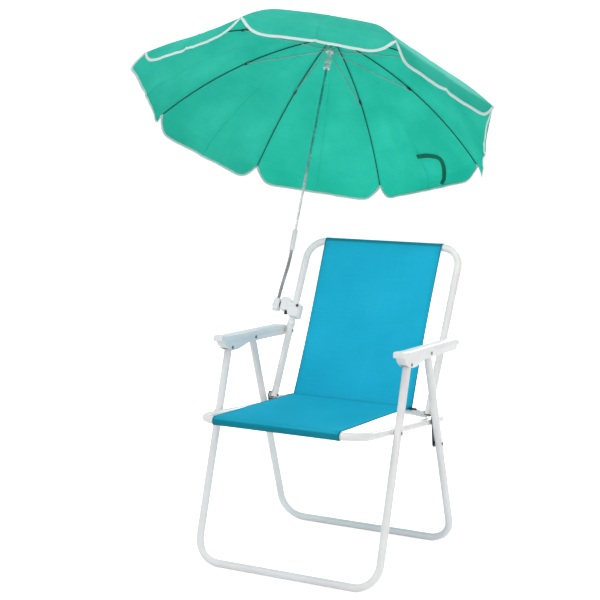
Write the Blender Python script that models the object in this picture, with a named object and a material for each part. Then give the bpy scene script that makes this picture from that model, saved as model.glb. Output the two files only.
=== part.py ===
"""A folding sling chair with a small umbrella clamped to its left back tube.

Metres, +Z up. The chair faces -Y and its right armrest is at +X. Side views are written as (y, z).
The last function moves the whole model so that the bottom centre of its bounding box is the origin.
"""
import math

import bmesh
import bpy
from mathutils import Matrix, Vector

# Tubes of the frame
TUBE_R = 0.0095
TUBE_SIDES = 12
LEG_BEND_R = 0.060
SEAT_BEND_R = 0.058
BACK_BEND_R = 0.050
BEND_STEPS = 6
HOLE_REACH = 0.3

# Clearances
GAP = 0.0003
HOLE_GAP = 0.0004
SECTION_GAP = 0.0004

# Side planes of the two sets of tubes
LEG_X = 0.243
RAIL_X = 0.2176

# Feet and pivots of the folding frame, as (y, z)
FRONT_FOOT = (-0.0804, TUBE_R)
REAR_FOOT = (0.3593, TUBE_R)
FRONT_LEG_PIVOT = (0.0751, 0.5114)
REAR_LEG_PIVOT = (0.1899, 0.5204)
BACK_PIVOT = (0.3420, 0.5160)
SEAT_PIVOT_share = 0.694
LINK_LEG_share = 0.532
LINK_BACK = (0.2608, 0.3576)
LINK_SEAT = (0.2846, 0.3335)

# Seat frame
SEAT_FRONT_Y = -0.114
SEAT_SLOPE = -0.0969
RAIL_END_Y = 0.3345

# Back frame, lengths along the back from the link pivot
BACK_TOP_S = 0.4335

# Cross tube between the back tubes: its ends are bent down and back
CROSS_END_SHIFT = (0.0120, -0.0080)
CROSS_STRAIGHT_X = 0.172
CROSS_BENT_X = 0.193

# Crease rod, ahead of the cross tube
CREASE_SHIFT = (-0.0122, 0.0077)
CREASE_ROD_R = 0.0030
CREASE_ROD_X = 0.188

# Sling cloth
CLOTH_T = 0.0010
SLING_HALF_W = 0.1675
SLING_WAIST_W = 0.1650
SEAT_SAG = 0.004
HEM_TURN = math.radians(172)
BACK_HEM_TURN = math.radians(165)

# Armrest channel
ARM_NOSE_Y = 0.0265
ARM_TAIL_Y = 0.3660
ARM_TOP_Z = 0.5460
ARM_TOP_SLOPE = -0.037
ARM_CAP_T = 0.0145
ARM_CAP_TAIL_T = 0.0103
ARM_CAP_HALF_W = 0.0135
ARM_WALL_HALF_W = 0.0118
ARM_CAVITY_HALF_W = 0.0103
ARM_ROOF_T = 0.0030
ARM_CORNER = 0.0060
ARM_CAVITY_FRONT_Y = 0.0520
ARM_CAVITY_REAR_Y = 0.3490
ARM_CAVITY_LOW_Z = 0.45
ARM_NOSE_RISE = 0.0025
ARM_NOSE_SPREAD = 0.03
ARM_TAIL_ROUND = 0.040
ARM_TAIL_CURVE = 5.0
ARM_ROOF_STATIONS = [0.30, 0.20, 0.10]
ARM_CORNER_shares = [0.0, 0.15, 0.5, 1.0]
ARM_LENGTH_shares = [0.10, 0.25, 0.45, 0.65, 0.80, 0.90, 0.94]
ARM_EDGE_share = 0.28
# Lower edge of the armrest walls, front to rear, as (y, z)
ARM_WALL_LOWER = [
    (0.046, 0.5300),
    (0.048, 0.5170),
    (0.060, 0.5070),
    (0.075, 0.5012),
    (0.095, 0.5002),
    (0.113, 0.5022),
    (0.147, 0.5090),
    (0.165, 0.5110),
    (0.270, 0.5080),
    (0.335, 0.5050),
    (0.349, 0.5100),
    (0.352, 0.5200),
]

# Rivets
PIN_R = 0.0025
HEAD_R = 0.0045
HEAD_T = 0.0014
BUSH_R = 0.0055

# Link plates
LINK_T = 0.0020
LINK_X = 0.2305
LINK_HALF_W = 0.0105

# Umbrella clamp on the left back tube, lengths along the back from the link pivot
CLAMP_LOW_S = 0.2135
CLAMP_HIGH_S = 0.2580
CLAMP_IN_X = -0.1960
CLAMP_SPLIT = 0.0005
CLAMP_DEPTH = 0.0145
BLOCK_LOW_S = 0.2320
BLOCK_HIGH_S = 0.2670
BLOCK_IN_X = -0.2300
BLOCK_OUT_X = -0.2574
BLOCK_DEPTH = 0.0125
BOLT_X = -0.2030
BOLT_S = 0.2465
BOLT_R = 0.0022
BOLT_HEAD_R = 0.0040
BOLT_HEAD_T = 0.0022
KNOB_X = -0.2385
KNOB_DEPTH = -0.0050
KNOB_R = 0.0042
KNOB_LEN = 0.0120
KNOB_STEM = 0.0080
COLLAR_LOW_S = 0.1925
COLLAR_HIGH_S = 0.2025
COLLAR_R = 0.0110
COLLAR_EDGE = 0.0010
DRILL_REACH = 0.010
BODY_EDGE = 0.0020
BLOCK_EDGE = 0.0040
JAW_EDGE = 0.0030
BODY_INTO_BLOCK = 0.0030
TUBE_BORE_R = TUBE_R + HOLE_GAP

# Tilt socket and gooseneck
SOCKET_X = -0.2724
SOCKET_POINT = (0.3726, 0.5768)
SOCKET_R = 0.0115
SOCKET_HALF_LEN = 0.0165
DISC_R = 0.0110
NUB_R = 0.0050
NUB_LEN = 0.0030
SOCKET_EDGE = 0.0030
GOOSENECK_R = 0.0048
GOOSENECK_BORE_R = 0.0028
GOOSENECK_RIB_depth_share = 0.84
GOOSENECK_RIBS = 30
BORE_REACH = 0.0010

# Umbrella: apex of the cloth, direction of the pole and the first rib's angle about it
APEX = Vector((-0.3037, 0.7511, 1.2938))
POLE_UP = Vector((-0.0521, 0.4642, 0.8842)).normalized()
FIRST_RIB_ANGLE = math.radians(266.57)
RIBS = 8
RIM_R = 0.5075
RIB_SLOPE_START = math.radians(7.0)
RIB_SLOPE_END = math.radians(42.7)
RIB_R = 0.0016
RIB_UNDER_CLOTH = 0.0007
CANOPY_HOLE_share = 0.016
CANOPY_ROWS = 7
PANEL_SHARES = [0.04, 0.09, 0.16, 0.30, 0.5]
VALANCE_DROP = 0.0488
VALANCE_OUT = 0.0148
VALANCE_NOTCH = 0.065
NOTCH_CORNER_power = 3.0
NOTCH_START_power = 1.2
TIP_DROP = 0.004

# Pole and its fittings, depths measured down the pole from the apex
POLE_R = 0.0036
POLE_END = 0.640
SLEEVE_R = 0.0070
SLEEVE_TOP = 0.595
SLEEVE_END = 0.655
SLEEVE_EDGE = 0.0015
NOTCH_TOP = 0.0034
NOTCH_END = 0.0095
NOTCH_R = 0.0112
RIB_START_R = 0.0122
CAP_LOW = 0.0002
CAP_HIGH = 0.0080
CAP_R = 0.0105
CROWN_STEM_R = 0.0062
POLE_TOP = 0.0035
RUNNER_RING_TOP = 0.0420
RUNNER_RING_END = 0.0520
RUNNER_NECK_END = 0.0750
RUNNER_FLANGE_END = 0.0860
RUNNER_GROOVE_END = 0.0910
RUNNER_END = 0.1030
RUNNER_RING_R = 0.0112
RUNNER_NECK_R = 0.0058
RUNNER_FLANGE_R = 0.0095
STRETCHER_R = 0.0014
STRETCHER_SIDE_SHIFT = 0.0034
STRETCHER_START_R = 0.0115
STRETCHER_UNDER_RIB = 0.0020
STRETCHER_PIVOT_R = 0.0140
STRETCHER_PIVOT_DEPTH = 0.0470
STRETCHER_JOINT_R = 0.2570

# Colours as (red, green, blue), then roughness and metallic
FINISHES = {
    "white_paint": ((0.85, 0.85, 0.86), 0.35, 0.0),
    "white_plastic": ((0.88, 0.88, 0.88), 0.45, 0.0),
    "dark_metal": ((0.05, 0.05, 0.05), 0.40, 0.8),
    "black_plastic": ((0.02, 0.02, 0.02), 0.50, 0.0),
    "rivet_steel": ((0.20, 0.20, 0.21), 0.35, 0.9),
    "grey_hose": ((0.25, 0.25, 0.26), 0.45, 0.3),
    "pole_steel": ((0.60, 0.60, 0.62), 0.15, 1.0),
    "turquoise_cloth": ((0.02, 0.42, 0.57), 0.80, 0.0),
    "canopy_cloth": ((0.03, 0.55, 0.38), 0.75, 0.0),
}

X_AXIS = Vector((1.0, 0.0, 0.0))


def side_point(x, point):
    """A 3-D point from an x and a side-view (y, z) pair."""
    return Vector((x, point[0], point[1]))


def share_point(start, end, share):
    """The point of a side-view line at a share of its length."""
    return tuple(a + (b - a) * share for a, b in zip(start, end))


SEAT_PIVOT = share_point(FRONT_FOOT, FRONT_LEG_PIVOT, SEAT_PIVOT_share)
LINK_LEG = share_point(REAR_FOOT, REAR_LEG_PIVOT, LINK_LEG_share)
BACK_UP = (side_point(0, BACK_PIVOT) - side_point(0, LINK_BACK)).normalized()
BACK_REAR = BACK_UP.cross(X_AXIS)
RIB_BOW_R = RIM_R / (math.sin(RIB_SLOPE_END) - math.sin(RIB_SLOPE_START))
RIB_INSET = CLOTH_T + RIB_UNDER_CLOTH + RIB_R
SPOKE_X = POLE_UP.cross(Vector((0, 0, 1))).normalized()
SPOKE_Y = POLE_UP.cross(SPOKE_X)


def back_point(x, s, behind=0.0):
    """A point of the leaning back: s up the tubes from the link pivot, and so far behind them."""
    return side_point(x, LINK_BACK) + BACK_UP * s + BACK_REAR * behind


def rib_angle(index):
    """Angle of a rib about the pole."""
    return FIRST_RIB_ANGLE + index * math.tau / RIBS


def radial(angle):
    """Direction away from the pole at an angle."""
    return SPOKE_X * math.cos(angle) + SPOKE_Y * math.sin(angle)


def pole_point(depth):
    """A point of the pole's axis, depth below the apex."""
    return APEX - POLE_UP * depth


def bow_point(angle, share, inset=0.0):
    """A point of the rib's bow at a share of its arc, moved inward by inset."""
    slope = RIB_SLOPE_START + (RIB_SLOPE_END - RIB_SLOPE_START) * share
    out = RIB_BOW_R * (math.sin(slope) - math.sin(RIB_SLOPE_START)) - inset * math.sin(slope)
    depth = RIB_BOW_R * (math.cos(RIB_SLOPE_START) - math.cos(slope)) + inset * math.cos(slope)
    return pole_point(depth) + radial(angle) * out


def remove_everything():
    """Empty the scene."""
    for obj in list(bpy.data.objects):
        bpy.data.objects.remove(obj)


def finish(name):
    """A material from the table of finishes."""
    material = bpy.data.materials.get(name)
    if material is None:
        colour, roughness, metallic = FINISHES[name]
        material = bpy.data.materials.new(name)
        material.use_nodes = True
        shader = material.node_tree.nodes["Principled BSDF"]
        shader.inputs["Base Color"].default_value = (*colour, 1.0)
        shader.inputs["Roughness"].default_value = roughness
        shader.inputs["Metallic"].default_value = metallic
    return material


def new_object(name, bm, material, smooth_angle=40, closed=True):
    """Turn a bmesh into a named object with its material."""
    if closed:
        bmesh.ops.recalc_face_normals(bm, faces=bm.faces)
    mesh = bpy.data.meshes.new(name)
    bm.to_mesh(mesh)
    bm.free()
    mesh.shade_smooth()
    mesh.set_sharp_from_angle(angle=math.radians(smooth_angle))
    mesh.materials.append(finish(material))
    obj = bpy.data.objects.new(name, mesh)
    bpy.context.collection.objects.link(obj)
    return obj


def apply_modifiers(obj):
    """Keep the evaluated shape as the object's own mesh."""
    graph = bpy.context.evaluated_depsgraph_get()
    mesh = bpy.data.meshes.new_from_object(obj.evaluated_get(graph))
    obj.modifiers.clear()
    obj.data = mesh


def combine(obj, tool, operation):
    """Cut or join an object with a tool body, which is removed."""
    modifier = obj.modifiers.new(operation.lower(), "BOOLEAN")
    modifier.operation = operation
    modifier.object = tool
    apply_modifiers(obj)
    bpy.data.objects.remove(tool)


def connect(bm, rings, closed=False):
    """Quads between neighbouring rings of points."""
    pairs = list(zip(rings, rings[1:]))
    if closed:
        pairs.append((rings[-1], rings[0]))
    for low, high in pairs:
        count = max(len(low), len(high))
        for i in range(count):
            j = (i + 1) % count
            corners = [low[i % len(low)], low[j % len(low)], high[j % len(high)], high[i % len(high)]]
            unique = list(dict.fromkeys(corners))
            bm.faces.new(unique)


def sweep(name, points, radii, normal, material, sides=TUBE_SIDES, turn=0.0):
    """A rod along points whose plane has the given normal."""
    bm = bmesh.new()
    rings = []
    for i, point in enumerate(points):
        before = points[max(i - 1, 0)]
        after = points[min(i + 1, len(points) - 1)]
        along = (after - before).normalized()
        across = (normal - along * normal.dot(along)).normalized()
        side = along.cross(across)
        ring = []
        for k in range(sides):
            angle = turn + math.tau * (k + 0.5) / sides
            offset = across * math.cos(angle) + side * math.sin(angle)
            ring.append(bm.verts.new(point + offset * radii[i]))
        rings.append(ring)
    connect(bm, rings)
    bm.faces.new(rings[0])
    bm.faces.new(rings[-1])
    return new_object(name, bm, material)


def turned(name, profile, base, axis, material, sides=20, bored=False):
    """A turned body: profile holds (distance along the axis, radius) pairs."""
    start = axis.orthogonal().normalized()
    other = axis.cross(start)
    bm = bmesh.new()
    rings = []
    for along, radius in profile:
        centre = base + axis * along
        if radius == 0:
            rings.append([bm.verts.new(centre)])
            continue
        ring = []
        for k in range(sides):
            angle = math.tau * k / sides
            ring.append(bm.verts.new(centre + (start * math.cos(angle) + other * math.sin(angle)) * radius))
        rings.append(ring)
    connect(bm, rings, closed=bored)
    if not bored:
        for ring in (rings[0], rings[-1]):
            if len(ring) > 1:
                bm.faces.new(ring)
    return new_object(name, bm, material)


def prism_x(name, outline, x_low, x_high, material):
    """A side-view outline extruded along X."""
    bm = bmesh.new()
    low = [bm.verts.new(side_point(x_low, point)) for point in outline]
    high = [bm.verts.new(side_point(x_high, point)) for point in outline]
    connect(bm, [low, high])
    bm.faces.new(low)
    bm.faces.new(high)
    return new_object(name, bm, material)


def back_block(name, x_range, s_range, behind_range, material, bevel=0.0):
    """A box in the frame of the leaning back, with rounded edges."""
    bm = bmesh.new()
    corners = [back_point(x, s, behind) for x in x_range for s in s_range for behind in behind_range]
    bmesh.ops.convex_hull(bm, input=[bm.verts.new(corner) for corner in corners])
    bmesh.ops.dissolve_limit(bm, angle_limit=math.radians(1), verts=bm.verts, edges=bm.edges)
    if bevel:
        bmesh.ops.bevel(bm, geom=bm.edges[:], offset=bevel, segments=2, affect="EDGES", profile=0.5)
    return new_object(name, bm, material, smooth_angle=30)


def cloth(name, rows, material, offset=0.0, thickness=CLOTH_T):
    """A sheet through rows of points, thickened into a closed body."""
    bm = bmesh.new()
    grid = [[bm.verts.new(point) for point in row] for row in rows]
    for low, high in zip(grid, grid[1:]):
        for i in range(len(low) - 1):
            bm.faces.new([low[i], low[i + 1], high[i + 1], high[i]])
    obj = new_object(name, bm, material, smooth_angle=180, closed=False)
    solidify = obj.modifiers.new("thickness", "SOLIDIFY")
    solidify.thickness = thickness
    solidify.offset = offset
    solidify.use_even_offset = True
    apply_modifiers(obj)
    return obj


def rounded_path(corners, bend_radius):
    """A polyline whose inner corners are arcs."""
    points = [corners[0]]
    for before, corner, after in zip(corners, corners[1:], corners[2:]):
        back = (before - corner).normalized()
        ahead = (after - corner).normalized()
        half = back.angle(ahead) / 2
        centre = corner + (back + ahead).normalized() * bend_radius / math.sin(half)
        reach = bend_radius / math.tan(half)
        first = corner + back * reach - centre
        axis = back.cross(ahead)
        for i in range(BEND_STEPS + 1):
            turn = Matrix.Rotation(-(math.pi - 2 * half) * i / BEND_STEPS, 3, axis)
            points.append(centre + turn @ first)
    points.append(corners[-1])
    return points


def domed(points, radius):
    """Add a rounded end beyond both ends of a path and give the radius at every point."""
    steps = [(0.5, 0.866), (0.866, 0.5), (0.99, 0.14)]
    start = (points[0] - points[1]).normalized()
    end = (points[-1] - points[-2]).normalized()
    first = [points[0] + start * radius * far for far, _ in reversed(steps)]
    last = [points[-1] + end * radius * far for far, _ in steps]
    shares = [share for _, share in steps]
    radii = [radius * s for s in reversed(shares)] + [radius] * len(points) + [radius * s for s in shares]
    return first + points + last, radii


def cross_hole(obj, point, radius, x_low=-HOLE_REACH, x_high=HOLE_REACH):
    """Drill along X through a side-view point."""
    length = x_high - x_low
    profile = [(0, radius), (length, radius)]
    drill = turned("drill", profile, side_point(x_low, point), X_AXIS, "dark_metal")
    combine(obj, drill, "DIFFERENCE")


def bent_frame(name, corners, bend_radius, holes, turn=0.0):
    """A tube bent through corners, with rounded ends and rivet holes through both sides."""
    normal = (corners[0] - corners[1]).cross(corners[2] - corners[1]).normalized()
    points, radii = domed(rounded_path(corners, bend_radius), TUBE_R)
    obj = sweep(name, points, radii, normal, "white_paint", turn=turn)
    for point in holes:
        cross_hole(obj, point, PIN_R + HOLE_GAP)
    return obj


def floor_turn(top, foot):
    """Turn of a leg frame's cross-section that lays a flat of its floor bar on the ground."""
    lean = math.atan2(abs(top[0] - foot[0]), top[1] - foot[1])
    facet = math.tau / TUBE_SIDES
    return (math.pi / 2 - lean) % facet if top[0] > foot[0] else (math.pi / 2 + lean) % facet


def leg_frame(name, top, foot, holes):
    """Two legs and their floor bar, bent from one tube."""
    turns = ((LEG_X, top), (LEG_X, foot), (-LEG_X, foot), (-LEG_X, top))
    corners = [side_point(x, point) for x, point in turns]
    return bent_frame(name, corners, LEG_BEND_R, holes, floor_turn(top, foot))


def rail_z(y):
    """Height of the seat rails' axis."""
    return SEAT_PIVOT[1] + SEAT_SLOPE * (y - SEAT_PIVOT[0])


def seat_frame():
    """Two side rails and the front bar, bent from one tube."""
    front = (SEAT_FRONT_Y, rail_z(SEAT_FRONT_Y))
    rear = (RAIL_END_Y, rail_z(RAIL_END_Y))
    turns = ((RAIL_X, rear), (RAIL_X, front), (-RAIL_X, front), (-RAIL_X, rear))
    corners = [side_point(x, point) for x, point in turns]
    return bent_frame("seat_frame", corners, SEAT_BEND_R, [SEAT_PIVOT])


def back_frame():
    """Two back tubes and the top bar, bent from one tube."""
    corners = [
        back_point(RAIL_X, 0),
        back_point(RAIL_X, BACK_TOP_S),
        back_point(-RAIL_X, BACK_TOP_S),
        back_point(-RAIL_X, 0),
    ]
    return bent_frame("back_frame", corners, BACK_BEND_R, [BACK_PIVOT, LINK_BACK])


def back_cross_tube():
    """Tube between the back tubes, its ends bent towards their lower ends."""
    end_x = RAIL_X - TUBE_R - GAP
    low = (LINK_BACK[0] + CROSS_END_SHIFT[0], LINK_BACK[1] + CROSS_END_SHIFT[1])
    half = [side_point(end_x, low), side_point(CROSS_BENT_X, low), side_point(CROSS_STRAIGHT_X, LINK_BACK)]
    points = half + [Vector((-p.x, p.y, p.z)) for p in reversed(half)]
    normal = side_point(0, CROSS_END_SHIFT).cross(X_AXIS).normalized()
    return sweep("back_cross_tube", points, [TUBE_R] * len(points), normal, "white_paint")


def crease_centre():
    """Side-view point of the crease rod."""
    return (LINK_BACK[0] + CREASE_SHIFT[0], LINK_BACK[1] + CREASE_SHIFT[1])


def crease_rod():
    """Rod in the fold of the sling."""
    length = 2 * CREASE_ROD_X
    chamfer = CREASE_ROD_R / 3
    profile = [
        (0, CREASE_ROD_R - chamfer),
        (chamfer, CREASE_ROD_R),
        (length - chamfer, CREASE_ROD_R),
        (length, CREASE_ROD_R - chamfer),
    ]
    base = side_point(-CREASE_ROD_X, crease_centre())
    return turned("crease_rod", profile, base, X_AXIS, "black_plastic", sides=12)


def wrap(centre, radius, start, end, steps):
    """Side-view arc around a bar, angles from +Y towards +Z."""
    angles = [start + (end - start) * i / steps for i in range(steps + 1)]
    return [(centre[0] + radius * math.cos(a), centre[1] + radius * math.sin(a)) for a in angles]


def sling_rows(path, half_widths, sags, columns=8):
    """Rows of points across a sling: each path point gets its half width and sag."""
    rows = []
    for point, half, sag in zip(path, half_widths, sags):
        row = []
        for i in range(columns + 1):
            across = 2 * i / columns - 1
            dip = sag * (1 - across * across)
            row.append(side_point(half * across, (point[0], point[1] - dip)))
        rows.append(row)
    return rows


def seat_fabric():
    """Seat half of the sling: from the crease to the front bar, and around it."""
    bar = (SEAT_FRONT_Y, rail_z(SEAT_FRONT_Y))
    wrap_r = TUBE_R + GAP + CLOTH_T / 2
    rod_r = CREASE_ROD_R + GAP + CLOTH_T * 1.5 + GAP
    crease = crease_centre()
    lean = math.atan2(crease[1] + rod_r - bar[1] - wrap_r, crease[0] - bar[0])
    top_angle = math.pi / 2 + lean
    around = wrap(bar, wrap_r, top_angle, top_angle + HEM_TURN, 12)
    rear = (crease[0] + rod_r * math.cos(top_angle), crease[1] + rod_r * math.sin(top_angle))
    flat_steps = 8
    flat = [share_point(rear, around[0], i / flat_steps) for i in range(flat_steps)]
    path = flat + around
    sags = [SEAT_SAG * math.sin(math.pi * i / flat_steps) for i in range(flat_steps)] + [0.0] * len(around)
    rows = sling_rows(path, [SLING_HALF_W] * len(path), sags)
    return cloth("seat_fabric", rows, "turquoise_cloth")


def back_fabric():
    """Back half of the sling: around the crease rod, up the back and over the top bar."""
    rod_r = CREASE_ROD_R + GAP + CLOTH_T / 2
    bar_r = TUBE_R + GAP + CLOTH_T / 2
    crease = crease_centre()
    top = back_point(0, BACK_TOP_S)
    rod = side_point(0, crease)
    across = top - rod
    tilt = math.asin((bar_r + rod_r) / across.length)
    up_angle = math.atan2(across.z, across.y)
    rod_leave = up_angle - math.pi / 2 + tilt
    around_rod = wrap(crease, rod_r, rod_leave - math.radians(150), rod_leave, 6)
    bar_start = rod_leave + math.pi
    around_bar = wrap((top.y, top.z), bar_r, bar_start, bar_start - BACK_HEM_TURN, 9)
    flat_steps = 8
    flat = [share_point(around_rod[-1], around_bar[0], i / flat_steps) for i in range(1, flat_steps)]
    path = around_rod + flat + around_bar
    widths = [SLING_HALF_W] * len(around_rod)
    for i in range(1, flat_steps):
        widths.append(SLING_HALF_W - (SLING_HALF_W - SLING_WAIST_W) * math.sin(math.pi * i / flat_steps))
    widths += [SLING_HALF_W] * len(around_bar)
    rows = sling_rows(path, widths, [0.0] * len(path))
    return cloth("back_fabric", rows, "turquoise_cloth")


def arm_top(y):
    """Height of the armrest's top, with its rounded tail."""
    drop = max(0.0, y - (ARM_TAIL_Y - ARM_TAIL_ROUND))
    rise = ARM_NOSE_RISE * math.exp(-(((y - ARM_NOSE_Y) / ARM_NOSE_SPREAD) ** 2))
    return ARM_TOP_Z + ARM_TOP_SLOPE * y + rise - ARM_TAIL_CURVE * drop * drop


def arm_cap_depth(y):
    """Thickness of the cap's sides, less towards the tail."""
    return ARM_CAP_T + (ARM_CAP_TAIL_T - ARM_CAP_T) * (y - ARM_NOSE_Y) / (ARM_TAIL_Y - ARM_NOSE_Y)


def armrest(name, side):
    """A moulded channel with a rounded cap and hollow underside."""
    centre_x = side * LEG_X
    length = ARM_TAIL_Y - ARM_NOSE_Y
    stations = [ARM_NOSE_Y + ARM_CORNER * s for s in ARM_CORNER_shares]
    stations += [ARM_NOSE_Y + length * s for s in ARM_LENGTH_shares]
    stations += [ARM_TAIL_Y - ARM_CORNER * s for s in reversed(ARM_CORNER_shares)]
    bm = bmesh.new()
    rings = []
    for y in stations:
        to_end = min(y - ARM_NOSE_Y, ARM_TAIL_Y - y, ARM_CORNER)
        pull = ARM_CORNER - math.sqrt(ARM_CORNER**2 - (ARM_CORNER - to_end) ** 2)
        half = ARM_CAP_HALF_W - pull
        top = arm_top(y) - pull * 0.5
        low = arm_top(y) - arm_cap_depth(y) + pull * 0.3
        edge = ARM_CAP_HALF_W * ARM_EDGE_share
        section = [
            (-half, low),
            (-half, top - edge),
            (-half + edge * 0.3, top - edge * 0.3),
            (-half + edge, top),
            (half - edge, top),
            (half - edge * 0.3, top - edge * 0.3),
            (half, top - edge),
            (half, low),
        ]
        rings.append([bm.verts.new((centre_x + dx, y, z)) for dx, z in section])
    connect(bm, rings)
    bm.faces.new(rings[0])
    bm.faces.new(rings[-1])
    obj = new_object(name, bm, "white_plastic", smooth_angle=35)
    inside_cap = ARM_CAP_TAIL_T / 2
    upper_y = [ARM_WALL_LOWER[-1][0]] + ARM_ROOF_STATIONS + [ARM_WALL_LOWER[0][0]]
    upper = [(y, arm_top(y) - inside_cap) for y in upper_y]
    walls = prism_x(
        "walls",
        ARM_WALL_LOWER + upper,
        centre_x - ARM_WALL_HALF_W,
        centre_x + ARM_WALL_HALF_W,
        "white_plastic",
    )
    combine(obj, walls, "UNION")
    roof_y = [ARM_CAVITY_REAR_Y] + ARM_ROOF_STATIONS + [ARM_CAVITY_FRONT_Y]
    roof = [(y, arm_top(y) - ARM_ROOF_T) for y in roof_y]
    outline = [(ARM_CAVITY_FRONT_Y, ARM_CAVITY_LOW_Z), (ARM_CAVITY_REAR_Y, ARM_CAVITY_LOW_Z)] + roof
    cavity = prism_x(
        "cavity",
        outline,
        centre_x - ARM_CAVITY_HALF_W,
        centre_x + ARM_CAVITY_HALF_W,
        "white_plastic",
    )
    combine(obj, cavity, "DIFFERENCE")
    near = side * (LEG_X - 2 * ARM_WALL_HALF_W)
    far = side * (LEG_X + 2 * ARM_WALL_HALF_W)
    for pivot in (FRONT_LEG_PIVOT, REAR_LEG_PIVOT):
        cross_hole(obj, pivot, PIN_R + HOLE_GAP, min(near, far), max(near, far))
    middle = side * LEG_X
    cross_hole(obj, BACK_PIVOT, PIN_R + HOLE_GAP, min(near, middle), max(near, middle))
    return obj


def rivet_pair(name, pivot, steps):
    """A rivet on each side; steps are (x, radius) pairs from the inner head to the outer end."""
    pair = []
    for side, word in ((-1, "left"), (1, "right")):
        base = side_point(0, pivot)
        pair.append(turned("{}_{}".format(name, word), steps, base, X_AXIS * side, "rivet_steel", sides=12))
    return pair


def head_and_pin(head_from, head_to, pin_to):
    """Profile steps of a head followed by its pin."""
    head = [(head_from, HEAD_R * 0.7), (head_from + HEAD_T * 0.5, HEAD_R), (head_to, HEAD_R)]
    return head + [(head_to, PIN_R), (pin_to, PIN_R)]


def far_head(head_from):
    """Profile steps of the head at a rivet's outer end."""
    head_to = head_from + HEAD_T
    return [(head_from, HEAD_R), (head_to - HEAD_T * 0.5, HEAD_R), (head_to, HEAD_R * 0.7)]


def bush_and_pin(bush_from, bush_to, radius, pin_to):
    """Profile steps of a bush between two pieces and the pin beyond it."""
    return [(bush_from, radius), (bush_to, radius), (bush_to, PIN_R), (pin_to, PIN_R)]


def rivets():
    """All rivets with their bushes, one pair for each pivot."""
    tube_in = RAIL_X - TUBE_R
    tube_out = RAIL_X + TUBE_R
    leg_in = LEG_X - TUBE_R
    leg_out = LEG_X + TUBE_R
    wall_in = LEG_X - ARM_WALL_HALF_W
    wall_out = LEG_X + ARM_WALL_HALF_W
    cavity_in = LEG_X - ARM_CAVITY_HALF_W
    link_in = LINK_X - LINK_T / 2
    link_out = LINK_X + LINK_T / 2
    through_arm = head_and_pin(wall_in - GAP - HEAD_T, wall_in - GAP, wall_out + GAP)
    through_arm += far_head(wall_out + GAP)
    inner_head = head_and_pin(tube_in - GAP - HEAD_T, tube_in - GAP, tube_out + GAP)
    to_arm = inner_head + bush_and_pin(tube_out + GAP, wall_in - GAP, HEAD_R, cavity_in + GAP)
    to_arm += far_head(cavity_in + GAP)
    to_leg = inner_head + bush_and_pin(tube_out + GAP, leg_in - GAP, BUSH_R, leg_out + GAP)
    to_leg += far_head(leg_out + GAP)
    to_link = inner_head + bush_and_pin(tube_out + GAP, link_in - GAP, HEAD_R, link_out + GAP)
    to_link += far_head(link_out + GAP)
    leg_only = [(leg_in + 2 * GAP, PIN_R), (leg_out + GAP, PIN_R)] + far_head(leg_out + GAP)
    return {
        "front_leg": rivet_pair("front_leg_rivet", FRONT_LEG_PIVOT, through_arm),
        "rear_leg": rivet_pair("rear_leg_rivet", REAR_LEG_PIVOT, through_arm),
        "back": rivet_pair("back_rivet", BACK_PIVOT, to_arm),
        "seat": rivet_pair("seat_rivet", SEAT_PIVOT, to_leg),
        "link_back": rivet_pair("link_back_rivet", LINK_BACK, to_link),
        "link_leg": rivet_pair("link_leg_rivet", LINK_LEG, leg_only),
    }


def hull_outline(points):
    """Convex outline of side-view points, anticlockwise."""
    ordered = sorted(set(points))
    outline = []
    for run in (ordered, ordered[::-1]):
        part = []
        for p in run:
            while len(part) > 1:
                a, b = part[-2:]
                if (b[0] - a[0]) * (p[1] - a[1]) - (b[1] - a[1]) * (p[0] - a[0]) > 0:
                    break
                part.pop()
            part.append(p)
        outline += part[:-1]
    return outline


def boss(obj, point, x_start, x_end, radius):
    """Join a round boss along X to an object."""
    direction = X_AXIS if x_end > x_start else -X_AXIS
    profile = [(0, radius), (abs(x_end - x_start), radius)]
    stub = turned("boss", profile, side_point(x_start, point), direction, "dark_metal", sides=14)
    combine(obj, stub, "UNION")


def link_plate(name, side):
    """A plate with three round lobes; its bosses face the seat rail and the rear leg."""
    rims = []
    for point in (LINK_BACK, LINK_LEG, LINK_SEAT):
        rims += wrap(point, LINK_HALF_W, 0.0, math.tau, 16)
    edges = sorted((side * (LINK_X - LINK_T / 2), side * (LINK_X + LINK_T / 2)))
    obj = prism_x(name, hull_outline(rims), edges[0], edges[1], "dark_metal")
    boss(obj, LINK_SEAT, side * LINK_X, side * (RAIL_X + TUBE_R + GAP), HEAD_R)
    boss(obj, LINK_LEG, side * LINK_X, side * (LEG_X - TUBE_R - GAP), HEAD_R)
    cross_hole(obj, LINK_BACK, PIN_R + HOLE_GAP, min(0, side), max(0, side))
    return obj


def back_drill(radius, x, behind, low_s, high_s, sides=24):
    """A round cutter along the back tubes."""
    profile = [(0, radius), (high_s - low_s, radius)]
    return turned("drill", profile, back_point(x, low_s, behind), BACK_UP, "dark_metal", sides)


def bolt_drill(behind):
    """A cutter for one half of the clamp bolt's hole, running rearwards from so far behind the tube."""
    profile = [(0, BOLT_R + HOLE_GAP), (2 * DRILL_REACH + CLAMP_DEPTH, BOLT_R + HOLE_GAP)]
    return turned("drill", profile, back_point(BOLT_X, BOLT_S, behind), BACK_REAR, "dark_metal", 16)


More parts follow.
